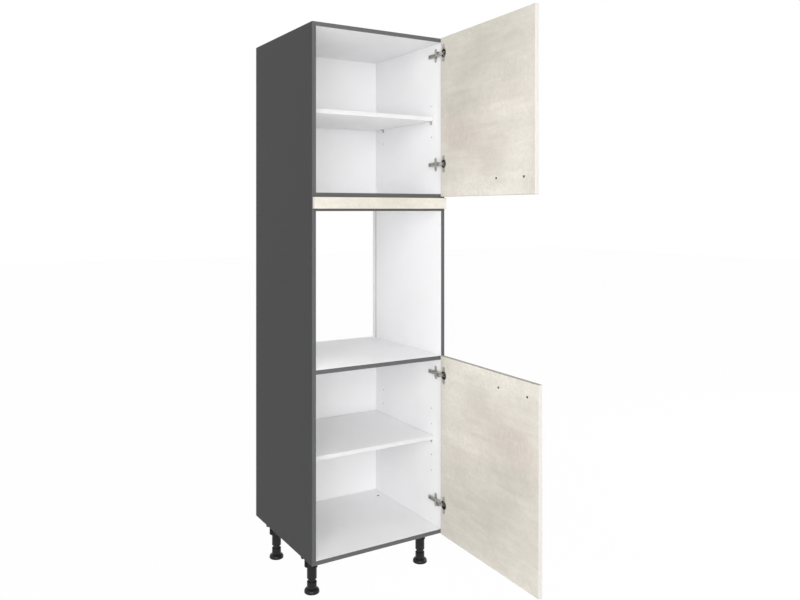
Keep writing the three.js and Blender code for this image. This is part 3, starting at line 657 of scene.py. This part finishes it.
def levelling_foot():
    """Rim, round shoulder, collar and spindle, turned as one."""
    reach, rise = FOOT_RADIUS - TUBE_RADIUS, FOOT_SHOULDER - FOOT_RIM
    shoulder = [(TUBE_RADIUS + reach * math.cos(turn), FOOT_RIM + rise * math.sin(turn))
                for turn in (math.radians(9 * step) for step in range(11))]
    outside, inside = COLLAR_EASE
    inner, recess = TUBE_RADIUS - COLLAR_WALL, COLLAR_TOP - COLLAR_RECESS
    return turned([(0, 0), (FOOT_RADIUS - FOOT_EDGE, 0), (FOOT_RADIUS, FOOT_EDGE), *shoulder,
                   (TUBE_RADIUS, COLLAR_TOP - outside), (TUBE_RADIUS - outside, COLLAR_TOP),
                   (inner + inside, COLLAR_TOP), (inner, COLLAR_TOP - inside), (inner, recess),
                   (SPINDLE_RADIUS, recess), (SPINDLE_RADIUS, FOOT_TOP - SPINDLE_CHAMFER),
                   (SPINDLE_RADIUS - SPINDLE_CHAMFER, FOOT_TOP), (0, FOOT_TOP)], 64)


abs_black = moulded_abs()
zinc = zinc_plate()
for corner in ("front_left", "front_right", "rear_left", "rear_right"):
    low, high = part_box(f"leg_tube_{corner}")
    middle = (low + high) / 2
    stand = Matrix.Translation((middle.x, middle.y, 0))
    under_board = Matrix.Translation((middle.x, middle.y, socket_high.z))
    socket = piece(f"moulded_socket_{corner}", leg_socket(), under_board, "carcass",
                   abs_black, SOCKET_EASE)
    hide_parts(f"leg_socket_{corner}")
    tube = piece(f"moulded_tube_{corner}", leg_tube(), stand, "carcass", abs_black)
    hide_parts(f"leg_tube_{corner}")
    foot = piece(f"turned_foot_{corner}", levelling_foot(), stand, f"foot_{corner}",
                 abs_black)
    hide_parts(f"levelling_foot_{corner}")
    corners = about(0, SOCKET_SCREWS)
    heads = screws(SOCKET_SCREW, Matrix.Rotation(math.pi, 4, "X"),
                   [(x, y, -SOCKET_THICKNESS) for x in corners for y in corners])
    piece(f"socket_screws_{corner}", joined(*heads), under_board, "carcass", zinc, ZINC_EASE)

# ---------------------------------------------------------------- hinge plates
# A pressed strip of nickel-plated steel, with one screw through each of its two wings into the side
# panel. Between the wings it carries the raised block of dark steel that takes the hinge arm.

# Hinges are drawn with the door closed, from its hinge edge and inner face: x runs out past the side
# panel, y into the unit. These are the four pins seen from above.
OUTER_ARM_PIN = Vector((-31.85, -7.3, 0))
INNER_ARM_PIN = Vector((-35, 6, 0))
OUTER_CUP_PIN = Vector((-11.87, -8.12, 0))
INNER_CUP_PIN = Vector((-10.4, -2.31, 0))
PANEL_FACE = -14
CARCASS_FRONT = 2.5
SEAT = 0.3                  # a part lies this far off the face that carries it
PLATE_MIDDLE = CARCASS_FRONT + 37
PLATE_THICKNESS = 1.6
PLATE_LENGTH = 56
PLATE_WIDTH = 15
PLATE_SCREWS = 32           # from one screw to the other
PLATE_SCREW = (3.9, 2.0)
PLATE_EASE = 0.3
BLOCK_FRONT = CARCASS_FRONT + 12
BLOCK_REAR = CARCASS_FRONT + 66
BLOCK_WIDTH = 12.4
BLOCK_SLOPE_RISE = 4
BLOCK_FRONT_SLOPE = 8
BLOCK_REAR_SLOPE = 6
ARM_WALL = 1.3
ARM_BACK = PANEL_FACE - 10
# A dark brown-black steel: painted shade on the cup's bowl, and the colour of the plate's block.
SHADE_STEEL_DARK = 0x1C1917
SHADE_STEEL_LIGHT = 0x38322D
SHADE_STEEL_CLOUD = 5 * MM
off_panel = Matrix.Rotation(math.radians(-90), 4, "Y")  # stands a turned shape on the panel's face


def shade_dark_steel():
    """A dark brown-black steel with a dull shine. On the cup's bowl it is painted shade, darkening the inside
    of the cup where shadow falls; on the plate it colours the block.
    """
    material, tree, shader, point = begin_material("dark_steel_with_painted_shade", 0.45, gloss=0.3)
    lighter_patches = (patches(tree, point, SHADE_STEEL_CLOUD, 3), linear(SHADE_STEEL_LIGHT))
    tree.links.new(coated(tree, linear(SHADE_STEEL_DARK), lighter_patches), shader.inputs["Base Color"])
    return material


def plate_wings():
    """One thin strip with round ends, which lies on the panel."""
    face = PANEL_FACE - SEAT
    strip = block((face - PLATE_THICKNESS, face), about(PLATE_MIDDLE, PLATE_WIDTH), about(0, PLATE_LENGTH))
    return rounded(strip, PLATE_WIDTH / 2 - SHY, 0, 8)


def plate_block():
    """It slopes at its front and rear end."""
    face = PANEL_FACE - SEAT
    top = ARM_BACK + ARM_WALL + SEAT
    low = top + BLOCK_SLOPE_RISE
    return sheet([(face, BLOCK_FRONT), (face, BLOCK_REAR), (low, BLOCK_REAR),
                  (top, BLOCK_REAR - BLOCK_REAR_SLOPE), (top, BLOCK_FRONT + BLOCK_FRONT_SLOPE),
                  (low, BLOCK_FRONT)], about(0, BLOCK_WIDTH))


def plate_screws():
    face = PANEL_FACE - SEAT - PLATE_THICKNESS
    return joined(*screws(PLATE_SCREW, off_panel, [(face, PLATE_MIDDLE, z) for z in about(0, PLATE_SCREWS)]))


joints = {joint["name"]: Vector(joint["pos_m"]) for joint in frame["joints"] if "pos_m" in joint}
shade_darkened = shade_dark_steel()
hinges = {}                 # door and end of each hinge: the place of its drawing
for door in ("upper", "lower"):
    for end in ("top", "bottom"):
        pin = joints[f"{door}_{end}_outer_link_turn"]
        place = Matrix.Translation(pin - OUTER_ARM_PIN * MM)
        hinges[door, end] = place
        plate = piece(f"{door}_{end}_wing_plate", plate_wings(), place, "carcass", nickel,
                      PLATE_EASE)
        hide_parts(f"{door}_door_{end}_hinge_plate")
        piece(f"{door}_{end}_plate_block", plate_block(), place, "carcass", shade_darkened,
              PLATE_EASE)
        piece(f"{door}_{end}_plate_screws", plate_screws(), place, "carcass", zinc,
              ZINC_EASE)

# ---------------------------------------------------------------- hinge arms
# One channel pressed from 1.3 mm steel and nickel-plated. It is clipped on the plate's block and cranked
# out to the nose, whose cheeks hold the two link pins. Its flat back carries the adjusting screws.

ARM_HALF = 8
ARM_REAR = CARCASS_FRONT + 78
ARM_FOOT = PANEL_FACE - 3
ARM_FOOT_FRONT = CARCASS_FRONT + 12
ARM_BEND = 1.8
ARM_EASE = 0.2
LINK_ROOT = 2               # radius of the inner link round its arm pin
NOSE_RADIUS = 2.9
NECK = INNER_ARM_PIN.x - 1.2
CREST = INNER_ARM_PIN.x - LINK_ROOT - SEAT - ARM_WALL
CREST_FRONT = INNER_ARM_PIN.y - 1.5
CREST_REAR = INNER_ARM_PIN.y + 4
CRANK_REAR = CARCASS_FRONT + 30
SIDE_SCREW = CARCASS_FRONT + 40
DEPTH_SCREW = CARCASS_FRONT + 54
CLIP_HOLE = CARCASS_FRONT + 66
ARM_HOLES = ((SIDE_SCREW, 4.4), (DEPTH_SCREW, 5.0), (CLIP_HOLE, 3.9))     # places and radii
BORE_DEPTH = 3
ARM_SCREWS = ((SIDE_SCREW, 3.1), (DEPTH_SCREW, 3.9))
ARM_SCREW_RISE = 1.2
ARM_SCREW_SUNK = 0.5
PIN_RADIUS = 1.2
RIVET = ((1.5, 0.5), (1.9, 0.0), (PIN_RADIUS, -1.5))    # half outline of a pin's end: radius, height
FITTINGS_EASE = 0.12
BUTTON = ((0, -1.2), (3.7, -1.2), (3.7, 0.6), (3.3, 0.9), (0, 0.2))     # radius, height


def hinge_arm():
    """A cheek drawn from above and pulled across the arm; then every side but the back is opened."""
    nose = [(OUTER_ARM_PIN.x + NOSE_RADIUS * math.cos(turn), OUTER_ARM_PIN.y + NOSE_RADIUS * math.sin(turn))
            for turn in (math.radians(-20 * step) for step in range(10))]
    arm = sheet([(ARM_FOOT, ARM_REAR), (ARM_FOOT, ARM_FOOT_FRONT), *nose, (NECK, CARCASS_FRONT),
                 (CREST, CREST_FRONT), (CREST, CREST_REAR), (ARM_BACK, CRANK_REAR), (ARM_BACK, ARM_REAR)],
                (-ARM_HALF, ARM_HALF))
    arm.normal_update()
    open_sides = [face for face in arm.faces if abs(face.normal.z) < 0.5
                  and (face.normal.x > -0.8 or face.calc_center_median().y < CREST_FRONT)]
    bmesh.ops.delete(arm, geom=open_sides, context="FACES")
    bends = [edge for edge in arm.edges if len(edge.link_faces) == 2]
    bmesh.ops.bevel(arm, geom=bends, offset=ARM_BEND, segments=4, profile=0.5, affect="EDGES", material=-1)
    return arm


def walled(shape, wall, offset=-1):
    """Sheet metal of this thickness, grown inwards from its outside, or to both sides with offset 0."""
    holder = as_object(shape, "walled")
    thick = holder.modifiers.new("wall", "SOLIDIFY")
    thick.thickness = wall
    thick.offset = offset
    return worked(holder)


def rod(radius, z, steps=24):
    """A round bar between two heights."""
    return turned([(0, z[0]), (radius, z[0]), (radius, z[1]), (0, z[1])], steps)


def arm_fittings():
    """The two adjusting screws in the back and the ends of the two link pins on the cheeks."""
    heads = [moved(pan_head(radius, ARM_SCREW_RISE), off_panel,
                   Matrix.Translation((ARM_BACK + ARM_SCREW_SUNK, y, 0))) for y, radius in ARM_SCREWS]
    end = [(0, ARM_HALF + RIVET[0][1]), *((radius, ARM_HALF + height) for radius, height in RIVET)]
    outline = [(radius, -height) for radius, height in end] + end[::-1]
    pins = [moved(turned(outline, 24), Matrix.Translation(pin)) for pin in (OUTER_ARM_PIN, INNER_ARM_PIN)]
    return joined(*heads, *pins)


def release_button_and_shade():
    """A black moulded disc in the arm's rear hole: the end of the clip lever, and painted shade for the dark
    inside of the hole.
    """
    return moved(turned(BUTTON), off_panel, Matrix.Translation((ARM_BACK + ARM_WALL, CLIP_HOLE, 0)))


for (door, end), place in hinges.items():
    shape = walled(hinge_arm(), ARM_WALL)
    for y, radius in ARM_HOLES:
        drill = rod(radius, (-BORE_DEPTH, BORE_DEPTH), 32)
        shape = carved(shape, moved(drill, off_panel, Matrix.Translation((ARM_BACK, y, 0))))
    arm = piece(f"{door}_{end}_pressed_arm", shape, place, "carcass", nickel, ARM_EASE)
    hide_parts(f"{door}_door_{end}_hinge_arm")
    piece(f"{door}_{end}_arm_fittings", arm_fittings(), place, "carcass", zinc,
          FITTINGS_EASE)
    # The black disc is partly the clip lever and partly painted shade inside the rear hole.
    piece(f"{door}_{end}_release_button", release_button_and_shade(), place, "carcass", abs_black)

# ---------------------------------------------------------------- hinge links
# Two links of bent, zinc-phosphated steel join the arm to the cup: the outer one has a cheek at each
# side and a rolled barrel, and the inner one is a plate between them. Both turn on steel pins.

OPEN = {"upper": math.radians(86.5), "lower": math.radians(88)}
LINK_THICKNESS = 1.8
LINK_BEND = 3
LINK_EASE = 0.15
STRAP_INSET = 1.6           # a strap begins and ends this far from its pins
LANE_HALF = ARM_HALF - ARM_WALL - SEAT
OUTER_CHEEK = 1.8
OUTER_LANES = ((-LANE_HALF, -LANE_HALF + OUTER_CHEEK), (LANE_HALF - OUTER_CHEEK, LANE_HALF))
OUTER_ROOT = (1.9, 1.3)     # radius and bore of its eye on the arm pin
OUTER_BARREL = (2.4, 1.5)   # the same on the cup pin
OUTER_ELBOW = (9.5, 2.4)    # along the link and across it
INNER_WIDTH = 7
INNER_ROOT = (LINK_ROOT, 1.3)
INNER_EYE = (1.9, PIN_RADIUS - 0.1)
INNER_ELBOW = (14, 1.8)
INNER_PIN_HALF = 6.2        # its cup pin ends just short of the ears of the cup
PHOSPHATE = 0x8E8A84
PHOSPHATE_CLOUD = 2.5 * MM


def phosphated_steel():
    """Zinc-phosphated steel, as the links are left: a metal greyer and duller than the nickel."""
    material, tree, shader, point = begin_material("phosphated_steel", 0.5, metallic=1.0)
    shade = sum_of(tree, 0.85, (patches(tree, point, PHOSPHATE_CLOUD, 3), 0.3))
    tinted(tree, shader, linear(PHOSPHATE), shade)
    return material


def door_place(door):
    """Where the door's hinge edge and inner face are at rest, turned as far as the door is open."""
    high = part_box(f"{door}_door")[1]
    return Matrix.Translation((high.x - DOOR_BOARD * math.sin(OPEN[door]), high.y, 0)) @ Matrix.Rotation(
        OPEN[door], 4, "Z")


def strap(end, elbow, z):
    """A strap of steel bent at its elbow, on edge, from the arm pin to the cup pin."""
    along = end.normalized()
    across = Vector((along.y, -along.x, 0))
    corners = (along * STRAP_INSET, along * elbow[0] + across * elbow[1], end - along * STRAP_INSET)
    shape = bmesh.new()
    points = [shape.verts.new((*corner.xy, z[0])) for corner in corners]
    lines = [shape.edges.new(pair) for pair in zip(points, points[1:])]
    raised = bmesh.ops.extrude_edge_only(shape, edges=lines)["geom"]
    top = [part for part in raised if isinstance(part, bmesh.types.BMVert)]
    bmesh.ops.translate(shape, vec=(0, 0, z[1] - z[0]), verts=top)
    bend = [edge for edge in shape.edges if len(edge.link_faces) == 2]
    bmesh.ops.bevel(shape, geom=bend, offset=LINK_BEND, segments=5, profile=0.5, affect="EDGES", material=-1)
    return walled(shape, LINK_THICKNESS, 0)


def barrel(at, radii, z):
    """A rolled eye round a pin."""
    outer, inner = radii
    return moved(turned([(inner, z[0]), (outer, z[0]), (outer, z[1]), (inner, z[1]), (inner, z[0])]),
                 Matrix.Translation(at))


def outer_link(end):
    """Drawn from its arm pin."""
    cheeks = [strap(end, OUTER_ELBOW, z) for z in OUTER_LANES]
    eyes = [barrel((0, 0, 0), OUTER_ROOT, z) for z in OUTER_LANES]
    return joined(*cheeks, *eyes, barrel(end, OUTER_BARREL, (-LANE_HALF, LANE_HALF)))


def inner_link(end):
    """Drawn from its arm pin."""
    width = about(0, INNER_WIDTH)
    pin = moved(rod(PIN_RADIUS, (-INNER_PIN_HALF, INNER_PIN_HALF)), Matrix.Translation(end))
    return joined(strap(end, INNER_ELBOW, width), barrel((0, 0, 0), INNER_ROOT, width),
                  barrel(end, INNER_EYE, width), pin)


phosphated = phosphated_steel()
LINKS = (("outer", outer_link, OUTER_ARM_PIN, OUTER_CUP_PIN),
         ("inner", inner_link, INNER_ARM_PIN, INNER_CUP_PIN))
for (door, end), place in hinges.items():
    for kind, draw, arm_end, cup_end in LINKS:
        arm_pin = joints[f"{door}_{end}_{kind}_link_turn"]
        way = door_place(door) @ (cup_end * MM) - arm_pin
        way.z = 0
        link = piece(f"{door}_{end}_bent_{kind}_link", draw(way.normalized() * (cup_end - arm_end).length),
                     Matrix.Translation(arm_pin), f"{door}_{end}_{kind}_link", phosphated,
                     LINK_EASE)
        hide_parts(f"{door}_door_{end}_hinge_{kind}_link")

# ---------------------------------------------------------------- hinge cups
# A deep-drawn bowl pressed into the door, under a nickel-plated flange whose two wings are screwed on. The
# bowl is painted dark brown-black as shade inside the cup. Two ears in the bowl hold the outer link's pin,
# and the rim dips for the links.

CUP_SETBACK = 22.5
CUP_RADIUS = 17.2
CUP_DEPTH = 12.2
CUP_WALL = 0.8
CUP_FOOT = 2                # bevel round the bottom of the bowl
CUP_TOP = -0.4              # the bowl ends this far from the door's face
FLANGE_THICKNESS = 1.2
FLANGE_RING = 18.4
FLANGE_LENGTH = 71
FLANGE_WIDTH = 17
FLANGE_SCREWS = 52
FLANGE_TOP = SEAT + FLANGE_THICKNESS
FLANGE_EASE = 0.15
SLIP = 0.01                 # the ring's faces lie this far within the wings', so that none coincide
MOUTH_RADIUS = CUP_RADIUS - 0.3
RIM_SLOPES = (0.3, 0.4, 0.5)    # how the rolled rim falls outside, turns, and falls inside
RIM_NOTCH = 14
RIM_NOTCH_DEPTH = 1.2
RIM_NOTCH_LENGTH = 4
EAR = 2.2
EAR_WALL = 0.6
EAR_EASE = 0.1
END_PLAY = 0.1              # the pin ends this far within its ears
CUP_SCREW = (4, 1.8)
off_door = Matrix.Rotation(math.radians(-90), 4, "X")   # stands a turned shape on the door's inner face
at_bore = Matrix.Translation((-CUP_SETBACK, 0, 0))


def rim_notch():
    """Drawn in the door's frame."""
    rim_end = CUP_RADIUS - CUP_SETBACK
    return block((rim_end - RIM_NOTCH_LENGTH, 0), (-RIM_NOTCH_DEPTH, 3), about(0, RIM_NOTCH))


def cup_bowl():
    """The bowl is turned upright and laid into the door."""
    inner, floor = CUP_RADIUS - CUP_WALL, -CUP_DEPTH + CUP_WALL
    bowl = turned([(0, -CUP_DEPTH), (CUP_RADIUS - CUP_FOOT, -CUP_DEPTH), (CUP_RADIUS, -CUP_DEPTH + CUP_FOOT),
                   (CUP_RADIUS, CUP_TOP), (inner, CUP_TOP), (inner, floor + CUP_FOOT),
                   (inner - CUP_FOOT, floor), (0, floor)], 72)
    return carved(moved(bowl, off_door, at_bore), rim_notch())


def cup_flange():
    """Two round wings and the ring round the mouth of the bowl, with a rolled rim."""
    inner = CUP_RADIUS - CUP_WALL
    wings = rounded(block(about(0, FLANGE_WIDTH), about(0, FLANGE_LENGTH), (SEAT, FLANGE_TOP)),
                    FLANGE_WIDTH / 2 - SHY, 2, 8)
    disc = rod(FLANGE_RING, (SEAT + SLIP, FLANGE_TOP - SLIP), 72)
    outside, turn, inside = RIM_SLOPES
    rim = turned([(inner, CUP_TOP), (CUP_RADIUS, CUP_TOP), (CUP_RADIUS, FLANGE_TOP - outside),
                  (CUP_RADIUS - turn, FLANGE_TOP), (inner, FLANGE_TOP - inside), (inner, CUP_TOP)], 72)
    open_parts = [carved(part, rod(MOUTH_RADIUS, (-1, 3), 72)) for part in (wings, disc)]
    return joined(*(carved(moved(part, off_door, at_bore), rim_notch()) for part in (*open_parts, rim)))


def cup_ears():
    """Two upright cheeks in the bowl and the pin between them."""
    near_face, far_face = LANE_HALF + SEAT, LANE_HALF + SEAT + EAR
    half = PIN_RADIUS + EAR_WALL
    floor = -CUP_DEPTH + CUP_WALL / 2
    cheeks = [rounded(block(about(OUTER_CUP_PIN.x, 2 * half), (floor, OUTER_CUP_PIN.y + half), z),
                      half - SHY, 2, 5) for z in ((near_face, far_face), (-far_face, -near_face))]
    pin = rod(PIN_RADIUS, (-far_face + END_PLAY, far_face - END_PLAY))
    return joined(*cheeks, moved(pin, Matrix.Translation(OUTER_CUP_PIN)))


def cup_screws():
    places = [(-CUP_SETBACK, FLANGE_TOP, z) for z in about(0, FLANGE_SCREWS)]
    return joined(*screws(CUP_SCREW, off_door, places))


for (door, end), place in hinges.items():
    at_hinge = door_place(door) @ Matrix.Translation((0, 0, place.translation.z))
    # The bowl's dark colour is painted shade inside the cup.
    cup = piece(f"{door}_{end}_drawn_cup", cup_bowl(), at_hinge, f"{door}_leaf", shade_darkened)
    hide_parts(f"{door}_door_{end}_hinge_cup")
    piece(f"{door}_{end}_cup_flange", cup_flange(), at_hinge, f"{door}_leaf", nickel,
          FLANGE_EASE)
    piece(f"{door}_{end}_cup_ears", cup_ears(), at_hinge, f"{door}_leaf", nickel, EAR_EASE)
    piece(f"{door}_{end}_cup_screws", cup_screws(), at_hinge, f"{door}_leaf", zinc,
          FITTINGS_EASE)

# ---------------------------------------------------------------- doors
# 16 mm chipboard with the concrete decor foil on both faces and bands on its edges, hung on two hinges.
# One print sheet serves both: the lower door is cut from it turned by half a turn.

for door, flow in (("upper", (-1, 1, 1)), ("lower", (1, 1, -1))):
    low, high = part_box(f"{door}_door")
    start = (0.0, 0.0, -low.z) if door == "upper" else (DOOR_WIDTH, 0.0, high.z)
    hinge_edge = door_place(door).translation
    foil = concrete_foil(f"concrete_decor_foil_{door}_door", f"{door}_door", hinge_edge, OPEN[door], start,
                         flow)
    dressed([f"{door}_door"], foil, DECOR_EASE)

# ---------------------------------------------------------------- plugs of the handle holes
# Dished caps of black moulded ABS. They are pushed into the two holes drilled in each door for the screws
# of a bar handle, near the oven.

HANDLE_PITCH = 160
HANDLE_INSET = 59           # from the free edge to the nearer hole
HANDLE_HEIGHTS = {"upper": 62, "lower": 671}    # from the bottom edge of the door
PLUG = ((0, -3), (2.3, -3), (2.3, 0.05), (4.4, 0.05), (4.4, 0.4), (3.9, 0.7), (3.2, 0.5), (1.9, -1),
        (0, -1.2))          # half outline: radius, and height over the door's face

for door, height in HANDLE_HEIGHTS.items():
    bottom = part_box(f"{door}_door")[0].z
    holes = [Matrix.Translation((-DOOR_WIDTH / MM + HANDLE_INSET + way, 0, bottom / MM + height)) @ off_door
             for way in (0, HANDLE_PITCH)]
    plugs = joined(*(moved(turned(PLUG), hole) for hole in holes))
    piece(f"{door}_handle_hole_plugs", plugs, door_place(door), f"{door}_leaf", abs_black)

# ---------------------------------------------------------------- door bumpers
# Small domes of clear, slightly milky polyurethane, stuck near the free edge of each door.

BUMPER_RADIUS = 4
BUMPER_HEIGHT = 1.6
BUMPER_FOOT = 0.2           # it spreads this much over a short bevel at its foot
BUMPER_SIDE = 0.25          # height at which its dome begins
CLEAR_DARK = 0xF6F6F4
CLEAR_LIGHT = 0xFFFFFF
HAZE = 3 * MM


def milky_polyurethane():
    """Cast polyurethane: clear, but it scatters enough to read as a bright dot."""
    material, tree, shader, point = begin_material("clear_polyurethane", 0.12)
    shader.inputs["IOR"].default_value = 1.5
    shader.inputs["Transmission Weight"].default_value = 0.3
    hazy = (patches(tree, point, HAZE, 2), linear(CLEAR_LIGHT))
    tree.links.new(coated(tree, linear(CLEAR_DARK), hazy), shader.inputs["Base Color"])
    return material


def bumper_dome():
    """Turned upright, from the door's face."""
    rise = BUMPER_HEIGHT - BUMPER_SIDE
    top = [(BUMPER_RADIUS * math.cos(turn), BUMPER_SIDE + rise * math.sin(turn))
           for turn in (math.radians(10 * step) for step in range(1, 10))]
    return turned([(0, 0), (BUMPER_RADIUS - BUMPER_FOOT, 0), (BUMPER_RADIUS, BUMPER_FOOT), *top])


clear = milky_polyurethane()
for door in ("upper", "lower"):
    for end in ("top", "bottom"):
        low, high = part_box(f"{door}_door_bumper_{end}")
        middle = (low + high) / 2
        at_face = door_place(door).inverted() @ middle
        place = door_place(door) @ Matrix.Translation((at_face.x, SEAT * MM, middle.z)) @ off_door
        bumper = piece(f"{door}_bumper_dome_{end}", bumper_dome(), place, f"{door}_leaf",
                       clear)
        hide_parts(f"{door}_door_bumper_{end}")

# ---------------------------------------------------------------- camera, light and floor
# A studio with a pale floor and five soft lamps; the camera stands where the photograph was taken.

AMBIENT = 0.31              # light of the white backdrop on the object
FLOOR_GLOW = 0.98           # how much of the floor's picture is plain white, and not lit paint
FLOOR_HALF = 20
FLOOR_DARK = 0xF4F4F4
FLOOR_LIGHT = 0xFAFAFA
FLOOR_GRAIN = 4 * MM
WHITE = (1, 1, 1, 1)

camera = bpy.data.objects.new("camera", bpy.data.cameras.new("camera"))
bpy.context.scene.collection.objects.link(camera)
bpy.context.scene.camera = camera
camera.location = (-1.5382, -2.5141, 1.4689)
camera.rotation_euler = (math.radians(90), 0, math.radians(-30.527))
camera.data.lens = 34.349
camera.data.shift_x = 0.03396
camera.data.shift_y = -0.11304


def soft_lamp(name, at, size, power, aim=(0, 0, 1.1)):
    """A square soft box that shines from one point towards another."""
    lamp = bpy.data.objects.new(name, bpy.data.lights.new(name, "AREA"))
    lamp.data.size = size
    lamp.data.energy = power
    lamp.location = at
    lamp.rotation_euler = (Vector(aim) - Vector(at)).to_track_quat("-Z", "Y").to_euler()
    bpy.context.scene.collection.objects.link(lamp)


soft_lamp("front_softbox", (-2.5, -4.2, 2.0), 4.4, 230)
soft_lamp("left_softbox", (-4.6, 0.4, 2.2), 3.0, 18, (0, 0.2, 1.1))
soft_lamp("right_softbox", (4.6, -1.0, 2.2), 3.0, 100)
soft_lamp("rear_softbox", (0.5, 4.6, 2.4), 3.0, 14)
soft_lamp("overhead_softbox", (0.0, -0.3, 5.0), 3.0, 52)


def seen_as_white(tree):
    """One for what the camera, a reflection or a look through clear plastic sees."""
    path = add(tree, "LightPath", {}).outputs
    total = sum_of(tree, 0.0, *((path[ray], 1.0) for ray in
                                ("Is Camera Ray", "Is Glossy Ray", "Is Transmission Ray")))
    return add(tree, "Clamp", {0: total}).outputs[0]


studio = bpy.data.worlds.new("studio")
bpy.context.scene.world = studio
studio.use_nodes = True
tree = studio.node_tree
backdrop = tree.nodes["Background"]
level = add(tree, "MapRange", {0: seen_as_white(tree), 3: AMBIENT, 4: 1.0}).outputs[0]
tree.links.new(level, backdrop.inputs["Strength"])
backdrop.inputs["Color"].default_value = WHITE

grid = bmesh.new()
bmesh.ops.create_grid(grid, x_segments=1, y_segments=1, size=FLOOR_HALF)
floor = as_object(grid, "studio_floor")
painted, tree, matt, point = begin_material("painted_studio_floor", 0.9)
grain = (patches(tree, point, FLOOR_GRAIN, 2), linear(FLOOR_LIGHT))
tree.links.new(coated(tree, linear(FLOOR_DARK), grain), matt.inputs["Base Color"])
glow = add(tree, "Emission", {"Color": WHITE, "Strength": 1.0})
share = add(tree, "Math", {0: seen_as_white(tree), 1: FLOOR_GLOW}, operation="MULTIPLY").outputs[0]
blend = add(tree, "MixShader", {0: share, 1: matt.outputs[0], 2: glow.outputs[0]})
tree.links.new(blend.outputs[0], tree.nodes["Material Output"].inputs["Surface"])
floor.data.materials.append(painted)

bpy.context.scene.view_settings.view_transform = "Standard"
